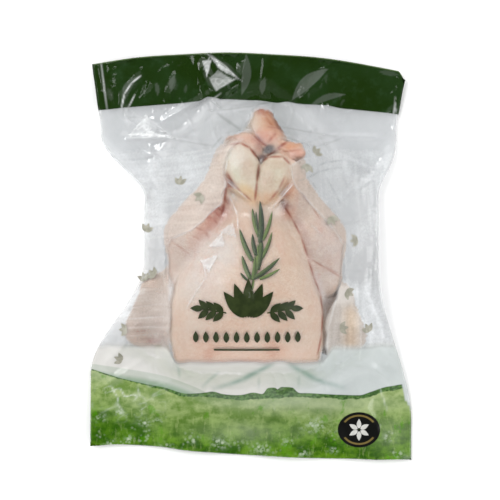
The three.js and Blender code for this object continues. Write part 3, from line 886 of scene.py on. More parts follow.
def meadow_colour(n):
    """Grass that is misty above and deep green below, with blades, blossoms and a dark hedge."""
    depth = n.number("meadow")
    low = n.step(depth, 10, 56)
    dark = n.mix(low, ink(110, 146, 56), ink(46, 92, 7))
    light = n.mix(low, ink(178, 198, 130), ink(106, 152, 36))
    field = n.mix(n.step(n.noise(58, 6, 0.6, (1, 1.4, 1)), 0.36, 0.64), dark, light)
    clumps = n.step(n.noise(150, 5, 0.7, (1, 1.3, 1)), 0.5, 0.64)
    blades = n.step(n.noise(140, 5, 0.72, (1.7, 0.5, 1)), 0.54, 0.66)
    vivid = n.step(n.noise(85, 4, 0.6, (1.2, 0.8, 1)), 0.58, 0.7)
    scattered = n.times(n.step(n.noise(36, 2), 0.58, 0.66), n.times(low, 0.4))
    petals = n.times(n.most(n.number("bloom"), scattered), n.step(n.cells(250), 0.5, 0.22))
    blotch = n.times(n.number("bloom"), n.step(n.noise(210, 3, 0.6), 0.46, 0.6))
    layers = [
        (clumps, 0.4, dark),
        (blades, 0.3, ink(188, 205, 136)),
        (n.number("mist"), 0.65, ink(190, 203, 166)),
        (n.number("shade"), 0.6, ink(52, 98, 16)),
        (vivid, 0.55, ink(88, 158, 10)),
        (petals, 0.8, ink(206, 220, 194)),
        (blotch, 0.6, ink(186, 206, 172)),
    ]
    for share, strength, tone in layers:
        field = n.over(field, share, strength, tone)
    ragged = n.math("MULTIPLY_ADD", n.noise(300, 4), 3.0, -1.5)
    inside = n.math("ADD", n.math("SUBTRACT", n.number("hedge"), depth), ragged)
    hedge = n.mix(n.step(n.noise(330, 4, 0.6), 0.4, 0.62), ink(42, 84, 36), ink(96, 138, 74))
    return n.over(field, n.step(inside, -0.4, 0.8), 0.9, hedge)


def bare_film_colour(n):
    """The milky white of the film, with the misty hill and the blue-green strokes."""
    white = n.mix(n.noise(46, 4, 0.6), n.colour("white_dark"), n.colour("white_pale"))
    far = n.times(n.step(n.number("hill"), -0.6, 0.6), 0.3)
    near = n.times(n.step(n.number("hill"), 0, 12), 0.8)
    white = n.mix(n.most(far, near), white, ink(128, 166, 130))
    return n.mix(n.number("teal"), white, film_tone(128, 154, 146))


def film_body(n, normal):
    """Clear, but for where print, haze, a veil, a fold, painted shade in creases or painted highlights
    show.
    """
    header = n.step(n.number("header"), -0.3, 0.3)
    meadow = n.times(n.step(n.number("meadow"), -0.5, 0.5), n.without(n.number("bare")))
    printed = n.most(header, meadow)
    fold_white_and_painted_highlight = n.number("fold_white_and_painted_highlight")
    painted_crease_shade = n.times(n.number("painted_crease_shade"), n.without(printed))
    speckle = n.math("MULTIPLY_ADD", n.noise(420, 3, 0.7), 0.6, 0.7)
    veil = n.times(n.number("veil"), speckle)
    cover = n.most(n.times(printed, 0.97), n.number("haze"), veil, fold_white_and_painted_highlight, painted_crease_shade)
    colour = n.mix(header, n.mix(meadow, bare_film_colour(n), meadow_colour(n)), header_colour(n))
    # Painted shade in the film's creases, in grey.
    colour = n.mix(painted_crease_shade, colour, film_tone(146, 150, 150))
    # Folded film and painted highlights, in white.
    colour = n.mix(fold_white_and_painted_highlight, colour, film_tone(240, 242, 242))
    milky = n.add("BsdfPrincipled", Base_Color=colour, Roughness=0.45, Specular_IOR_Level=0, Normal=normal)
    return n.mix_shaders(cover, n.add("BsdfTransparent", Color=(0.985, 0.985, 0.985, 1)), milky)


def film_material():
    """The film's body under a gloss, which its outer side alone has."""
    n = Nodes("clear_film")
    normal = n.bump(n.noise(110, 4, 0.6), 0.1, 0.002)
    fresnel = n.add("Fresnel", IOR=1.48, Normal=normal).outputs[0]
    outer_side = n.without(n.add("NewGeometry").outputs["Backfacing"])
    gloss = n.times(n.times(fresnel, outer_side), n.number("gloss"))
    shine = n.add("BsdfGlossy", Color=(1, 1, 1, 1), Roughness=n.number("dull"), Normal=normal)
    return n.finish(n.mix_shaders(gloss, film_body(n, normal), shine))


# The chicken

BREAST_SKIN = (228, 206, 188)
# Patches of skin colour, some of them painted shade in the vent, along the breast's edges and between the
# breast and the right leg: x, y, half width, half length, turn in degrees, colour, strength.
SKIN_PATCHES_AND_PAINTED_SHADE = [
    (13, 128, 15, 18, 0, (217, 175, 145), 0.95), (13, 145, 11, 5, 0, (176, 102, 76), 0.9),
    (21, 134, 7, 13, 28, (190, 130, 92), 0.9), (27, 131, 3, 12, 28, (156, 92, 58), 0.9),
    (0, 131, 10, 15, 15, (230, 212, 194), 1), (12, 118, 14, 8, 0, (230, 180, 164), 0.8),
    (6, 114, 6, 5, -30, (178, 112, 104), 0.7), (-8, 110, 20, 10, -20, (226, 182, 164), 0.95),
    (-14, 113, 10, 5, -25, (214, 166, 150), 0.6), (7, 108, 4, 4, 0, (150, 100, 92), 0.7),
    (7, 102, 5, 6, 0, (186, 128, 108), 0.85), (38, 109, 11, 5, 15, (226, 170, 134), 0.95),
    (44, 101, 12, 6, 15, (232, 176, 156), 0.95), (30, 106, 5, 8, 10, (214, 164, 138), 0.8),
    # Painted shade: the dark vent pit between the tail's lobes and the crease below it.
    (17, 106, 6, 4.5, 20, (96, 78, 84), 1), (20, 101, 8, 2.5, 25, (120, 84, 78), 0.8),
    (-8, 84, 18, 27, 15, (230, 226, 204), 1), (-5, 92, 6, 9, 10, (208, 190, 178), 0.4),
    (-15, 98, 10, 13, 15, (236, 234, 224), 0.85), (-2, 82, 8, 15, 10, (216, 190, 172), 0.6),
    (-6, 66, 9, 6, -25, (232, 202, 156), 0.7), (19, 78, 17, 21, -15, (222, 216, 194), 1),
    (16, 76, 7, 12, -10, (212, 184, 166), 0.6), (24, 90, 11, 5, 0, (208, 186, 162), 0.6),
    (1, 60, 12, 6, -35, (236, 202, 150), 0.9), (18, 58, 14, 5, 20, (232, 186, 146), 0.8),
    (6, 58, 26, 8, 0, (238, 204, 172), 0.6), (-22, 74, 5, 9, 25, (186, 116, 92), 0.8),
    (-19, 72, 3, 4, 30, (140, 76, 50), 0.9), (-22, 56, 3, 4, 0, (146, 84, 60), 0.8),
    (33, 63, 5, 4, 0, (136, 76, 56), 0.9), (36, 68, 7, 9, 25, (214, 160, 126), 0.7),
    # This line and the next: partly the thigh's redder meat and partly painted shade in the hollow beside
    # the breast.
    (-32, 44, 12, 15, -35, (196, 132, 118), 0.85), (-30, 50, 8, 4, -20, (172, 100, 86), 0.6),
    (-42, 28, 9, 12, -35, (204, 144, 128), 0.75), (-52, 15, 9, 19, -30, (208, 158, 142), 0.7),
    # This line and the next: painted shade along the breast's right edge.
    (34, 49, 5, 10, 25, (152, 104, 104), 0.85), (42, 40, 4, 16, 25, (182, 142, 138), 0.7),
    (53, 16, 4, 22, 14, (184, 144, 138), 0.7), (62, -18, 4, 16, 20, (184, 144, 136), 0.7),
    # Painted shade in the wedge between the breast and the right leg.
    (74, -68, 7, 30, -4, (168, 150, 140), 0.95), (76, -46, 8, 14, 0, (104, 84, 78), 0.85),
    (74, 10, 24, 50, 0, (210, 198, 194), 0.75), (-72, 16, 18, 44, 0, (214, 198, 190), 0.7),
    # The second entry here and the first on the next line: the breast paler at left, partly the film's haze
    # and partly painted sheen.
    (-52, -44, 18, 40, 0, (228, 216, 204), 0.5), (-42, -8, 20, 34, -15, (231, 224, 219), 0.9),
    (-24, 16, 13, 24, -30, (230, 216, 205), 0.6), (36, 44, 8, 6, 0, (236, 182, 156), 0.6),
    (50, 56, 11, 20, -20, (196, 180, 170), 0.8), (36, -20, 22, 50, 0, (216, 190, 168), 0.6),
    (0, -92, 66, 16, 0, (248, 216, 196), 0.85), (-36, -76, 20, 8, 0, (230, 184, 162), 0.35),
    (-8, -98, 34, 4, 0, (216, 152, 132), 0.5), (20, -84, 8, 12, 20, (220, 172, 148), 0.5),
    (-40, -90, 6, 10, -20, (218, 168, 146), 0.5), (-96, -62, 24, 34, 0, (212, 190, 174), 0.9),
    (-108, -70, 12, 12, 0, (202, 178, 160), 0.6), (-94, -79, 8, 2.5, 0, (190, 110, 100), 0.9),
    (92, -60, 24, 32, 0, (204, 182, 164), 0.9), (94, -62, 7, 16, 10, (208, 166, 132), 0.7),
]
# Creases in the skin, cut into it and darkened in colour as painted shade: x, y at each point, depth and
# half width.
SKIN_CREASES = [
    (7.5, 90, 5.6, 74, 2, 1.1), (5.6, 74, 3.7, 57, 1.8, 1), (-22.7, 83, -17, 72, 1, 1.1),
    (-17, 72, -8.6, 63.5, 1, 56, 0.9, 1), (32, 79, 26, 66.5, 18, 57, 0.9, 1),
    (-21, 109, -10, 111, 1.2, 1.2), (-10, 111, -1, 106.5, 1.4, 1.2), (-1, 106.5, 5.8, 97, 1.6, 1.3),
    (10.3, 94, 16, 97.5, 1.6, 1.3), (16, 97.5, 30, 98, 37, 91, 1.2, 1.2),
    (7.6, 97, 15.2, 99.9, 24, 105.6, 2, 1.3), (24, 105.6, 35, 114, 1.6, 1.2),
    (-24, 73, -25, 55, 1.6, 1.5), (-25, 55, -28, 41, 1.2, 1.4), (-37, 51, -31, 50, 0.5, 0.9),
    (-31, 50, -25.5, 44, 0.6, 0.9), (-42, 48, -35, 47.5, 0.4, 0.9), (-35, 47.5, -28, 40, 0.5, 0.9),
    (-43, 41, -36, 40, -30, 33, 0.4, 0.9), (-54, 32, -44, 28, 0.5, 1), (-44, 28, -39, 21, 0.4, 1),
    (-57, 24, -48, 20, 0.4, 1), (-78, 20, -58, 6, 0.4, 1), (58, 0.5, 72, -8, 87.6, -16.7, 0.7, 0.9),
    (65.7, -4.3, 86.7, -13.8, 0.5, 0.9),
    (30.4, 53.2, 38.9, 39.5, 47.1, 23.3, 54.1, 1.5, 59.4, -15.7, 66.5, -31.8, 1, 1),
    (66.5, -31.8, 68.4, -49.9, 67.4, -70.3, 63.6, -90.7, 1.2, 1.1), (46.7, 65.3, 57.1, 51.9, 0.8, 1.1),
    (57.1, 51.9, 66, 38, 0.5, 1.1), (-120, -56, -100, -53, -84, -56, 0.6, 1.1),
    (-116, -64, -96, -60, 0.8, 1.2), (-96, -60, -82, -62, 0.7, 1.2), (-118, -71, -98, -68, 0.7, 1.2),
    (-98, -68, -82, -70, 0.8, 1.2), (-112, -77, -84, -76, 0.6, 1.1), (78, -52, 104, -57, 0.6, 1.2),
    (78, -64, 104, -67, 0.6, 1.2), (4.8, 119.4, 10.5, 112.7, 1.2, 1.2),
    (10.5, 112.7, 15, 109.4, 1.4, 1.2), (16.3, 112.7, 21.1, 118.5, 1, 1.1),
    (21.1, 118.5, 24, 122.3, 0.8, 1.1), (14.6, 128, 36, 127, 0.7, 0.9), (13, 141, 24, 124, 0.4, 1),
    (29, 103, 47, 106, 0.8, 1),
]


def skin_tint(x, y):
    """The skin's colour at each point, with each patch, some of them painted shade, laid over the ones
    before.
    """
    tint = np.ones((len(x), 1)) * np.array(skin(*BREAST_SKIN)[:3])
    for px, py, half_width, half_length, turn, colour, strength in SKIN_PATCHES_AND_PAINTED_SHADE:
        dx, dy = turned(x - px, y - py, turn)
        away = np.hypot(dx / half_width, dy / half_length)[:, None]
        share = strength * np.exp(-(away ** 3))
        tint = tint * (1 - share) + share * np.array(skin(*colour)[:3])
    return tint


def skin_relief(x, y):
    """Fine uneven skin, and creases cut into it, whose depth also darkens their colour as painted shade."""
    relief = 0.5 * value_noise(x / 9, y / 9, 21) + 0.35 * value_noise(x / 4.5, y / 4.5, 22)
    groove_and_painted_shade = np.zeros_like(x)
    for line, depth, half_width in stretches(SKIN_CREASES):
        t, away = along_line(x, y, *line)
        groove_and_painted_shade = np.maximum(groove_and_painted_shade, depth * np.sin(math.pi * (0.1 + 0.8 * t)) * bell(away, 0, half_width))
    return relief - groove_and_painted_shade, groove_and_painted_shade


def make_chicken(distance, low):
    """The bird's mesh from its distance, with fine relief on its upper side, its tint, which holds some
    painted shade, and its creases, darkened as painted shade.
    """
    grid = openvdb.FloatGrid(3.0)
    grid.copyFromArray(distance.astype(np.float32))
    points, quads = grid.convertToQuads(0.0)
    points = points * BIRD_STEP + low
    relief, groove_and_painted_shade = skin_relief(points[:, 0], points[:, 1])
    upward = smoothstep(12, 30, points[:, 2])
    points[:, 2] += upward * relief - 0.5 * upward
    made = mesh_object("chicken", points, quads, skin_material())
    if volume_sign(made.data) < 0:
        made.data.flip_normals()
    point_colour(made, "tint", skin_tint(points[:, 0], points[:, 1]))
    point_number(made, "groove_and_painted_shade", np.minimum(0.85 * groove_and_painted_shade, 0.85))


def volume_sign(mesh):
    """1 if the mesh's faces point out and -1 if they point in."""
    count = len(mesh.polygons)
    centre, normal, area = np.zeros(3 * count), np.zeros(3 * count), np.zeros(count)
    for name, values in (("center", centre), ("normal", normal), ("area", area)):
        mesh.polygons.foreach_get(name, values)
    return 1 if ((centre * normal).reshape(-1, 3).sum(1) * area).sum() > 0 else -1


# The sprig

# The stem's points and half width.
STEM = [(8.3, 19), (6, 2), (2.4, -17), (-1.5, -33)]
STEM_HALF_WIDTH = 1.1
# A needle's steps along and round it, its flatness, its bow for its length, and its gap to the skin.
NEEDLE_STEPS, NEEDLE_SIDES, NEEDLE_FLATNESS = 12, 10, 0.4
NEEDLE_BOW, NEEDLE_CLEARANCE = 0.035, 0.3
# Each needle's root, tip and half width.
NEEDLES = [
    ((8.3, 17), (8.3, 56), 2.6), ((6.6, 24), (1.2, 49), 1.9), ((6.8, 22), (4.8, 46), 1.5),
    ((11, 19), (20, 46.5), 1.8), ((1, 0), (-10.8, 29.8), 2.3), ((4.6, 5), (1.3, 25), 2),
    ((9.2, 1), (19.8, 26.8), 1.8), ((2.4, -16.6), (26.6, 2.6), 2.1), ((8, -17), (26.8, -7.6), 1.6),
    ((-0.4, -17), (-8.4, 4.8), 2.2), ((-3.5, -18), (-9.9, -11), 1.2), ((1.3, -17.8), (3.6, 4.4), 1.9),
    ((6.4, -8.6), (10.1, 21.1), 2), ((3.6, -13), (6.4, 15.6), 1.7),
]


def needle(root, tip, half_width, skin_top, lift, pale):
    """A flat pointed needle that follows the skin: points, faces and how pale each point is, paler along
    its centre line and, as painted light, on its left side.
    """
    root, tip = np.array(root, float), np.array(tip, float)
    length = np.linalg.norm(tip - root)
    along = (tip - root) / length
    bow = NEEDLE_BOW * length * np.sign(along[0] + 0.01)
    t = np.linspace(0, 1, NEEDLE_STEPS + 1)[:, None]
    turn = 2 * math.pi * np.arange(NEEDLE_SIDES)[None, :] / NEEDLE_SIDES
    width = half_width * np.maximum(np.sin(math.pi * np.minimum(1, 0.2 + 0.8 * t)) ** 0.55, 0.08)
    sideways = bow * np.sin(math.pi * t)
    x = root[0] + (tip[0] - root[0]) * t + along[1] * sideways
    y = root[1] + (tip[1] - root[1]) * t - along[0] * sideways
    z = skin_top(x, y) + NEEDLE_CLEARANCE + NEEDLE_FLATNESS * half_width + lift
    out, rise = width * np.cos(turn), NEEDLE_FLATNESS * width * np.sin(turn)
    points = np.stack([x - along[1] * out, y + along[0] * out, z + rise], -1).reshape(-1, 3)
    rib = 0.5 * clamp01(1 - np.abs(np.cos(turn)) * 3)
    # Painted light: each needle's left side is paler, as if lit from the left.
    midrib_and_painted_light = clamp01(pale + 0.3 * np.cos(turn) + rib) * (np.sin(turn) > -0.1) * np.ones_like(t)
    numbers = np.arange(len(points)).reshape(len(t), NEEDLE_SIDES)
    closed = np.concatenate([numbers, numbers[:, :1]], 1)
    faces = [*grid_faces(closed)[:, [0, 3, 2, 1]].tolist(), numbers[0, ::-1].tolist(), numbers[-1].tolist()]
    return points, faces, midrib_and_painted_light.ravel()


def sprig_lift(x, y):
    """How far the sprig holds the film off the skin."""
    lift = np.zeros_like(x)
    stem = [(root, tip, STEM_HALF_WIDTH) for root, tip in zip(STEM, STEM[1:])]
    for root, tip, half_width in NEEDLES + stem:
        away = along_line(x, y, *root, *tip)[1]
        lift = np.maximum(lift, (0.8 * half_width + 0.9) * bell(away, 0, half_width + 1.6))
    return lift


def make_sprig(skin_top):
    """The stem and the needles in one piece, laid on the skin."""
    shapes = [needle(root, tip, STEM_HALF_WIDTH, skin_top, 0, 0.4) for root, tip in zip(STEM, STEM[1:])]
    for k, (root, tip, half_width) in enumerate(NEEDLES):
        shapes.append(needle(root, tip, half_width, skin_top, 0.25 * (k % 3), 0.12 * (k * 3 % 5)))
    points, shape_faces, midrib_and_painted_light = zip(*shapes)
    faces = [[k * len(points[0]) + n for n in face] for k, some in enumerate(shape_faces) for face in some]
    sprig = mesh_object("rosemary_sprig", np.concatenate(points), faces, needle_material())
    point_number(sprig, "midrib_and_painted_light", np.concatenate(midrib_and_painted_light))


# The bag

# The lower edge of the header, and the upper edges of the meadow and of a misty hill behind it: x, y.
HEADER_EDGE = [
    (-160, 148), (-122, 152), (-101, 153.8), (-52, 158.2), (-42, 162.4), (-30, 160.4), (-8, 158.4),
    (8, 156.9), (25, 154.9), (36, 157), (47, 155.4), (73, 154.2), (89, 151.2), (115, 148.6), (131, 147),
    (160, 143),
]
MEADOW_EDGE = [
    (-160, -108), (-145, -113), (-116, -121), (-86, -127), (-63, -133), (-45, -132), (-13, -133.8),
    (12, -133.4), (50, -132.2), (81, -133.8), (108, -134.6), (119, -131.6), (133, -127), (160, -122),
]
HILL_EDGE = [
    (-160, -103), (-120, -109), (-84, -115.4), (-62, -123), (-45, -131.5), (-38, -141), (160, -142),
]
# The edges of the clear window: y, x. Beyond them the film is veiled.
WINDOW_LEFT = [
    (-96, -75), (-80, -78), (-56, -78), (-37, -78), (-18, -80), (0, -81), (14, -80), (20.6, -76),
    (27, -58.8), (40, -44), (53.6, -28.5), (66, -25), (81, -24.5), (97, -22), (107, -17), (114, -7),
]
WINDOW_RIGHT = [
    (-99, 72.5), (-64, 73), (-32, 83), (-17, 87), (14, 88.5), (27, 80), (39.5, 70), (50, 60), (63, 47),
    (73, 40.6), (89, 37), (95, 45), (101, 56), (110, 62),
]
# Clusters of blossom in the meadow: x, y and size.
BLOSSOMS = [
    (-150, -157, 5), (-131, -152, 4), (-106, -162, 5), (-93, -160, 4), (-121, -179, 5), (-140, -184, 5),
    (-84, -187, 6), (-58, -180, 4), (-30, -182, 8), (10, -188, 8), (36, -181, 5), (62, -165, 10),
    (52, -193, 5), (82, -190, 4), (138, -176, 6), (146, -193, 5),
]

# Where the film stays clear although it doesn't touch the bird: x, y, half width and half length.
CLEAR_SPOTS = [
    (18, 105, 22, 12), (42, 105, 16, 10), (21, 131, 13, 16), (74, -72, 8, 26), (79, -42, 11, 16),
    (36, 50, 10, 15),
]


def film_haze(x, y, under, gap, steep):
    """How milky the film is: nearly clear where it touches the bird, and frosted below it."""
    off_bird = np.maximum(smoothstep(1.5, 15, gap), 0.8 * smoothstep(6, 1, under))
    haze = np.maximum(HAZE_ON + (HAZE_OFF - HAZE_ON) * off_bird, HAZE_STEEP * steep)
    on_bird = smoothstep(0.5, 6, under)
    for px, py, half_width, half_length in CLEAR_SPOTS:
        away = np.hypot((x - px) / half_width, (y - py) / half_length)
        haze = haze * (1 - 0.85 * on_bird * smoothstep(1.2, 0.7, away))
    return np.maximum(haze, HAZE_FROST * frost_share(x, y))


def frost_share(x, y):
    """1 over the frosted band, which reaches higher beside the breast, and 0 above it."""
    start = FROST_Y + FROST_RISE_AT_SIDES * smoothstep(70, 81, np.abs(x + 1))
    return smoothstep(0, -9, y - start + 4 * value_noise(x / 14, y / 14, 32))


def veil_sides(x, y):
    """The veiled film to the left and to the right of the clear window."""
    below_tail = 1 - smoothstep(*VEIL_END_Y, y)
    rough = 5 * value_noise(x / 9, y / 9, 34) - 2.5
    left = smoothstep(-2, 2, through(WINDOW_LEFT, y) - x + rough)
    right = smoothstep(-2, 2, x - through(WINDOW_RIGHT, y) + rough)
    return left * below_tail, right * below_tail


def window_lines(edge):
    """Pale lines along the window's edge above the bird's middle."""
    pairs = [(a, b) for a, b in zip(edge, edge[1:]) if 14 <= a[0] and b[0] < 100]
    return [(x0, y0, x1, y1, 0.8, 0.4) for (y0, x0), (y1, x1) in pairs]


def clump(x):
    """Bushes that rise out of the hedge."""
    uneven = 1.2 * value_noise(x / 3, np.zeros_like(x), 37) - 0.6
    bushes = np.maximum(7.8 * np.exp(-((x - 20.5) / 7) ** 4), 7.4 * np.exp(-((x - 34) / 10.5) ** 4))
    return bushes + 2 * bell(x, -38, 7) + 2.6 * bell(x, 2, 8) + uneven * np.minimum(bushes / 4, 0.8)


def bare_margin(x, y):
    """1 where the meadow's print stops short of the bag's right edge, near its top."""
    print_end = side_edge(1, y) - 5 * smoothstep(-152, -135, y)
    return smoothstep(-0.6, 0.6, x - print_end) * smoothstep(-154, -146, y)


def hedge_height(x):
    """How far the hedge reaches below the meadow's upper edge, with its bushes."""
    at_left = 1 - smoothstep(-125, -55, x)
    uneven = 3.4 + 2 * value_noise(x / 9, np.zeros_like(x), 33) + 1.2 * bell(x, -14, 16)
    return uneven * (1 - 0.7 * at_left) + clump(x)


def bloom(x, y):
    """How thick the blossom is."""
    strongest = np.zeros_like(x)
    for px, py, size in BLOSSOMS:
        strongest = np.maximum(strongest, bell(np.hypot(x - px, 1.5 * (y - py)), 0, size))
    return strongest


def meadow_mist(x, y):
    """Where the meadow is misty: at its left end, under the hedge, and low in the middle and at right."""
    places = [
        0.35 * bell(x, -106, 30) * bell(y, -138, 12),
        0.8 * bell(x, -148, 22) * bell(y, -114, 9),
        bell(x, 60, 90) * bell(y, -142, 11),
        0.45 * bell(x, -4, 48) * bell(y, -171, 11),
        0.4 * bell(x, 142, 24) * bell(y, -172, 20),
    ]
    return np.max(places, axis=0)


def meadow_shade(x, y):
    """Where the grass is deep green: low at both ends and in the middle, and here and there higher up."""
    places = [
        0.75 * bell(x, -136, 34) * bell(y, -172, 15),
        0.1 * bell(x, 92, 60) * bell(y, -188, 10),
        0.2 * bell(x, 42, 34) * bell(y, -186, 10),
        0.4 * smoothstep(0.55, 0.85, value_noise(x / 16, y / 10, 41)) * bell(y, -155, 12),
    ]
    return np.max(places, axis=0)


def painted_glint_crinkles(x, y):
    """Painted highlights on crinkled film at the meadow's left end."""
    fine = ridges((x + 0.5 * y) / 9, (y - 0.4 * x) / 6, 38, 7)
    broad = value_noise(x / 12, y / 8, 39)
    return 0.6 * fine * smoothstep(0.3, 0.7, broad) * bell(x, -124, 28) * bell(y, -135, 17)


def edge_distance(x, y):
    """Millimetres in from the bag's top edge."""
    return end_edges(across_bag(x, y))[1] - y


def back_height(x, y):
    """The height of the bag's back: at the seam on the rim, and flat on the table further in."""
    s = across_bag(x, y)
    bottom, top = end_edges(s)
    inward = np.maximum(np.abs(s), np.abs(2 * (y - bottom) / (top - bottom) - 1))
    share = through([(0, 0), (0.8, 0), (0.9, 0.3), (1, 1)], inward)
    return np.maximum((seam_height(x, y) - FILM_GAP) * share, BACK_REST)


def grid_faces(numbers):
    """The faces between the points of a grid, given by their numbers."""
    corners = [numbers[:-1, :-1], numbers[1:, :-1], numbers[1:, 1:], numbers[:-1, 1:]]
    return np.stack(corners, -1).reshape(-1, 4)


def coarse_faces(numbers):
    """Large faces over a grid, facing down, which keep every point of the grid's rim."""
    step = BACK_STEP
    columns, rows = numbers.shape[0] - 1, numbers.shape[1] - 1
    faces = []
    for i in range(0, columns, step):
        for j in range(0, rows, step):
            left = [(i, j + k) for k in (range(step) if i == 0 else [0])]
            top = [(i + k, j + step) for k in (range(step) if j + step == rows else [0])]
            right = [(i + step, j + step - k) for k in (range(step) if i + step == columns else [0])]
            bottom = [(i + step - k, j) for k in (range(step) if j == 0 else [0])]
            faces.append([int(numbers[point]) for point in left + top + right + bottom])
    return faces


def film_tones(x, y, under):
    """The film's darker and paler white, with the tones of each place laid over the ones before."""
    over_bird = smoothstep(0.5, 6, under)
    left, right = (side * over_bird for side in veil_sides(x, y))
    over_wings = smoothstep(-16, -34, y)
    frost = frost_share(x, y)
    # Painted highlight: the film beside the bird's left side, off the bird, is paler.
    painted_waist_highlight = bell(y, 4, 88) * smoothstep(88, 120, np.abs(x)) * (1 - over_bird) * (x < 0)
    smear = 0.7 * bell(x, 97, 8) * smoothstep(-38, -52, y)
    places = [
        (np.ones_like(x), (198, 201, 203), (218, 221, 223)),
        (painted_waist_highlight, (222, 225, 227), (242, 244, 246)),
        (left, (200, 189, 181), (222, 211, 202)),
        (left * over_wings, (182, 173, 166), (204, 194, 187)),
        (right, (182, 172, 163), (206, 194, 184)),
        (right * over_wings, (182, 176, 170), (204, 198, 192)),
        (right * over_wings * smear, (202, 178, 152), (214, 194, 170)),
        (frost, (205, 204, 200), (217, 215, 211)),
        (frost * smoothstep(0, 80, x), (184, 190, 189), (204, 210, 209)),
    ]
    dark, pale = np.zeros((*x.shape, 3)), np.zeros((*x.shape, 3))
    for share, darker, paler in places:
        share = share[:, :, None]
        dark = dark * (1 - share) + np.array(film_tone(*darker)[:3]) * share
        pale = pale * (1 - share) + np.array(film_tone(*paler)[:3]) * share
    return {"white_dark": dark.reshape(-1, 3), "white_pale": pale.reshape(-1, 3)}


def film_marks(x, y):
    """How deep each point lies in a printed field, and how much of each mark it has."""
    # Lines where the film folds on itself, and painted highlights and sheen, all laid on in white.
    lines = FOLD_WHITE_AND_GLINT_LINES + window_lines(WINDOW_LEFT) + window_lines(WINDOW_RIGHT)
    pale = [line_marks(x, y, lines), painted_highlight_marks(x, y), painted_sheen_slivers(x, y), painted_glint_crinkles(x, y)]
    return {
        "header": y - through(HEADER_EDGE, x),
        "meadow": through(MEADOW_EDGE, x) + clump(x) - y,
        "bare": bare_margin(x, y),
        "hill": through(HILL_EDGE, x) - y,
        "hedge": hedge_height(x),
        "rim": edge_distance(x, y),
        "fold_white_and_painted_highlight": np.max(pale, axis=0),
        "painted_crease_shade": 1.35 * line_marks(x, y, PAINTED_CREASE_SHADE_LINES),
        "teal": line_marks(x, y, TEAL_LINES),
        "mist": meadow_mist(x, y),
        "shade": meadow_shade(x, y),
        "bloom": bloom(x, y),
    }


def veil_strength(x, y):
    """How much the veiled film covers, thicker over the legs and over the wings."""
    left, right = veil_sides(x, y)
    cloudy = 0.7 + 0.4 * value_noise(x / 15, y / 15, 35)
    slanting = 0.3 * value_noise((x + 3 * y) / 26, (y - 0.1 * x) / 2.6, 40)
    upright = 0.25 * value_noise(x / 2.6, y / 24, 36)
    left_wing = smoothstep(-20, -34, y) * (1 - 0.6 * smoothstep(-52, -74, y))
    right_wing = 0.22 * smoothstep(-16, -34, y) + 0.4 * bell(np.hypot(x - 91, y + 34), 0, 10)
    left = left * (cloudy + slanting) * (0.24 + 0.31 * smoothstep(8, 26, y) + 0.34 * left_wing)
    return np.maximum(left, right * (cloudy + upright) * (0.5 + right_wing))


def gloss_strength(x, y, touching):
    """How much of the gloss shows: less where the film touches the bird, and in a few dull places."""
    in_header = smoothstep(-2, 2, y - through(HEADER_EDGE, x))
    beside_triangle = 1 - bell(np.hypot(x + 34, y - 188), 0, 17)
    in_wedge = bell(np.hypot((x - 77) / 11, (y + 56) / 34), 0, 1)
    in_fold = bell(np.hypot(x + 22, y - 52), 0, 11)
    calmed = (1 - 0.82 * in_header * beside_triangle) * (1 - 0.7 * in_wedge) * (1 - 0.85 * in_fold)
    return (1 - 0.65 * touching) * calmed


def film_mesh(x, y, height):
    """The front and back of the bag as one closed film, and which points of the two grids it has."""
    front = np.arange(x.size).reshape(x.shape)
    back = front + x.size
    for edge in RIM:
        back[edge] = front[edge]
    layers = [np.stack([x, y, z], -1).reshape(-1, 3) for z in (height, back_height(x, y))]
    faces = grid_faces(front).tolist() + coarse_faces(back)
    used = np.zeros(2 * x.size, bool)
    used[[n for face in faces for n in face]] = True
    renumber = (np.cumsum(used) - 1).tolist()
    faces = [[renumber[n] for n in face] for face in faces]
    return mesh_object("film_bag", np.concatenate(layers)[used], faces, film_material()), used


def make_film(x, y, height, under, gap, steep, lifted):
    """The film, with its marks, tones and haze stored at its points for its material."""
    film, used = film_mesh(x, y, height)
    touching = smoothstep(4, 0.8, lifted)
    marks = film_marks(x, y)
    marks["veil"] = veil_strength(x, y)
    marks["dull"] = 0.07 + 0.2 * touching
    marks["gloss"] = gloss_strength(x, y, touching)
    for name, values in marks.items():
        point_number(film, name, np.tile(values.ravel(), 2)[used])
    for name, tone in film_tones(x, y, under).items():
        point_colour(film, name, np.tile(tone, (2, 1))[used])
    haze = film_haze(x, y, under, gap, steep).ravel()
    point_number(film, "haze", np.concatenate([haze, np.full(x.size, BACK_HAZE)])[used])
    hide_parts("sealed_bag")


# Prints on the film


def on_film(height, x, y):
    """The film's height at plan points, from its grid."""
    bottom, top = end_edges(across_bag(x, y))
    even = np.linspace(-1, 1, 401)
    column = (np.interp(across_bag(x, y), crowded(even), even) + 1) / 2 * COLUMNS
    return sample(height, column, (y - bottom) / (top - bottom) * ROWS)


def leaf_patch(x, y, length, width, angle):
    """Plan points of a pointed leaf from x, y, on a grid of 12 by 4, turned by angle degrees."""
    t = np.linspace(0, 1, 13)[:, None]
    v = np.linspace(-1, 1, 5)[None, :]
    half = width / 2 * np.sin(math.pi * t ** 0.8) ** 0.9
    dx, dy = turned(length * t * np.ones_like(v), half * v, -angle)
    return x + dx, y + dy


def make_print(name, patches, height, material, lift=PRINT_LIFT):
    """Flat shapes laid on the film, joined in one piece."""
    points, faces = [], []
    for x, y in patches:
        z = on_film(height, x, y) + lift
        numbers = np.arange(x.size).reshape(x.shape) + sum(len(p) for p in points)
        points.append(np.stack([x, y, z], -1).reshape(-1, 3))
        faces.append(grid_faces(numbers))
    mesh_object(name, np.concatenate(points), np.concatenate(faces), material)


# The emblem's middle, and the rows of its leaf bunch, sprays, lozenges and rule.
EMBLEM_X, BUNCH_Y, SPRAY_Y, LOZENGE_Y, RULE_Y = -4, -53, -48, -77, -84


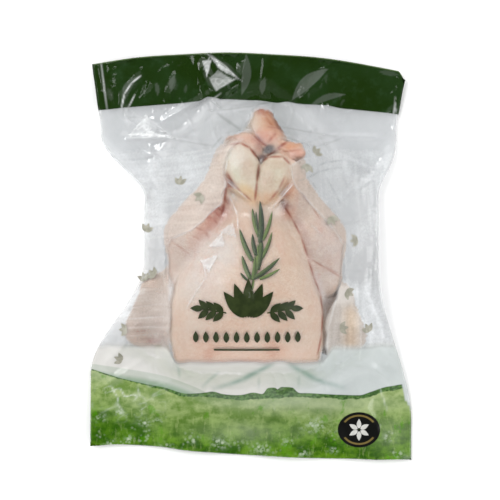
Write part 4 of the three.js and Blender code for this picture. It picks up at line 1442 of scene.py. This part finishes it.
def emblem_patches():
    """A bunch of leaves, a spray to each side of it, and a row of lozenges over a plain rule."""
    patches = []
    for k in range(-2, 3):
        patches.append(leaf_patch(EMBLEM_X + 1.5 - 2 * k, BUNCH_Y, 37 - 3 * abs(k), 11, 90 + 19 * k))
    for side, outward in ((-1, 180), (1, 0)):
        for k in range(3):
            for turn in (-46, 42):
                x = EMBLEM_X + side * (22 + 7 * k)
                patches.append(leaf_patch(x, SPRAY_Y + 1.2 * k, 13, 6, outward + turn))
        stalk = ((EMBLEM_X + side * 19, SPRAY_Y - 0.5), (EMBLEM_X + side * 43, SPRAY_Y + 3.5))
        patches.append(leaf_patch(stalk[1][0] - side * 2, stalk[1][1], 12, 6, outward))
        patches.append(slope_bar(*stalk, 1.3))
    for k in range(-5, 6):
        patches.append(leaf_patch(EMBLEM_X + 9.6 * k, LOZENGE_Y, 11, 5.4, 90))
    patches.append(slope_bar((EMBLEM_X - 31, RULE_Y), (EMBLEM_X + 31, RULE_Y), 1.8))
    return patches


def slope_bar(start, end, thickness):
    """Plan points of a straight bar."""
    t = np.linspace(0, 1, 41)[:, None] * np.ones((1, 3))
    rise = thickness / 2 * np.array([[-1, 0, 1]]) * np.ones_like(t)
    return start[0] + (end[0] - start[0]) * t, start[1] + (end[1] - start[1]) * t + rise


# Where each small trio of leaves is printed.
SMALL_LEAVES = [
    (-103, 28), (-104, -20), (-93, -15), (-121, -68), (-46, 62), (55, 92), (76, 42), (92, -30), (86, -66),
    (62, 104), (-70, 74), (116, -70), (-128, -100), (104, 20),
]


def small_leaf_patches():
    """Three leaves from each place, each trio turned further than the one before."""
    return [leaf_patch(x, y, 9, 4.6, 70 + 37 * k + turn)
            for k, (x, y) in enumerate(SMALL_LEAVES) for turn in (-44, 0, 44)]


# The round label's middle, and its half width and half height.
LABEL_CENTRE, LABEL_RADII = (107.5, -169), (21, 17.5)


def make_label(height):
    """A thin round label, as rings of points round its middle."""
    rings, around = 24, 72
    r = np.linspace(0.02, 1, rings + 1)[:, None]
    turn = np.linspace(0, 2 * math.pi, around, endpoint=False)[None, :]
    x = LABEL_CENTRE[0] + LABEL_RADII[0] * r * np.cos(turn)
    y = LABEL_CENTRE[1] + LABEL_RADII[1] * r * np.sin(turn)
    z = on_film(height, x, y) + LABEL_LIFT
    numbers = np.arange(x.size).reshape(x.shape)
    closed = np.concatenate([numbers, numbers[:, :1]], 1)
    points = np.stack([x, y, z], -1).reshape(-1, 3)
    label = mesh_object("round_label", points, grid_faces(closed), label_material())
    point_number(label, "radius", (r * np.ones_like(turn)).ravel())
    point_number(label, "upright", (np.abs(np.sin(turn)) * np.ones_like(r)).ravel())


def rosette_patches():
    """Six leaves that point out from round the label's middle."""
    patches = []
    for angle in range(30, 390, 60):
        dx, dy = turned(1, 0, -angle)
        patches.append(leaf_patch(LABEL_CENTRE[0] + 1.6 * dx, LABEL_CENTRE[1] + 1.4 * dy, 9.5, 4.6, angle))
    return patches


# Stage


def make_floor():
    n = Nodes("pale_floor")
    colour = n.mix(n.noise(3, 2), (0.93, 0.93, 0.93, 1), (0.95, 0.95, 0.95, 1))
    mesh = bpy.data.meshes.new("floor")
    corners = [(x * FLOOR_HALF, y * FLOOR_HALF, 0) for x, y in ((-1, -1), (1, -1), (1, 1), (-1, 1))]
    mesh.from_pydata(corners, [], [(0, 1, 2, 3)])
    mesh.materials.append(n.plain(colour, 0.8, 0.5))
    floor = bpy.data.objects.new("floor", mesh)
    bpy.context.scene.collection.objects.link(floor)


def make_light(name, place_at, size, power):
    light = bpy.data.lights.new(name, "AREA")
    light.size = size
    light.energy = power
    made = bpy.data.objects.new(name, light)
    made.location = place_at
    direction = Vector(LIGHT_TARGET) - Vector(place_at)
    made.rotation_euler = direction.to_track_quat("-Z", "Y").to_euler()
    bpy.context.scene.collection.objects.link(made)


def make_world():
    """A room that is dark overhead and light all round, as a tent of white cloth is."""
    world = bpy.data.worlds.new("light_tent")
    world.use_nodes = True
    tree = world.node_tree
    background = tree.nodes["Background"]
    direction = tree.nodes.new("ShaderNodeTexCoord").outputs["Generated"]
    split = tree.nodes.new("ShaderNodeSeparateXYZ")
    tree.links.new(direction, split.inputs[0])
    ramp = tree.nodes.new("ShaderNodeMapRange")
    ramp.interpolation_type = "SMOOTHSTEP"
    for key, value in ROOM_LIGHT.items():
        ramp.inputs[key].default_value = value
    tree.links.new(split.outputs[2], ramp.inputs["Value"])
    tree.links.new(ramp.outputs["Result"], background.inputs["Strength"])
    background.inputs["Color"].default_value = (1, 1, 1, 1)
    bpy.context.scene.world = world


def make_camera():
    camera = bpy.data.cameras.new("camera")
    camera.sensor_width = 36
    camera.lens = camera.sensor_width * CAMERA_HEIGHT / SEEN_WIDTH
    made = bpy.data.objects.new("camera", camera)
    made.location = place((*CAMERA_XY, CAMERA_HEIGHT))
    bpy.context.scene.collection.objects.link(made)
    bpy.context.scene.camera = made


def make_stage():
    make_camera()
    make_world()
    for light in LIGHTS:
        make_light(*light)
    make_floor()
    bpy.context.scene.view_settings.view_transform = "Standard"


def make_bag(skin_top, narrow_top):
    """The film, draped over the bird and the sprig and then creased. Returns its height."""
    def held_up(x, y):
        return skin_top(x, y) + sprig_lift(x, y) + CLEARANCE

    x, y, height = drape(held_up)
    gap, lifted, under = height - skin_top(x, y), height - held_up(x, y), narrow_top(x, y)
    steep = smoothstep(4, 10, skin_top(x, y) - under) * smoothstep(60, 42, under)
    creased = np.ones_like(x)
    for edge in RIM:
        creased[edge] = 0
    height = height + creased * (fold_relief(x, y) + facet_relief(x, y) + wrinkle_relief(x, y, gap))
    height = np.minimum(height, cad_box[1][2] / MM - TOP_MARGIN)
    make_film(x, y, height, under, gap, steep, lifted)
    return height


def make_prints(height):
    olive = print_material("emblem_ink", ink(36, 48, 15), ink(50, 62, 26))
    make_print("emblem_print", emblem_patches(), height, olive)
    pale = print_material("pale_ink", ink(158, 156, 140), ink(188, 185, 170))
    make_print("small_leaf_print", small_leaf_patches(), height, pale)
    make_label(height)
    chalk = print_material("chalk_ink", ink(214, 214, 208), ink(228, 228, 222))
    make_print("rosette_print", rosette_patches(), height, chalk, ROSETTE_LIFT)


def main():
    make_stage()
    distance, low = bird_volume()
    wide_tops, narrow_tops = top_heights(distance, low)
    skin_top, narrow_top = height_over(wide_tops, low), height_over(narrow_tops, low)
    make_chicken(distance, low)
    make_sprig(skin_top)
    make_prints(make_bag(skin_top, narrow_top))


main()
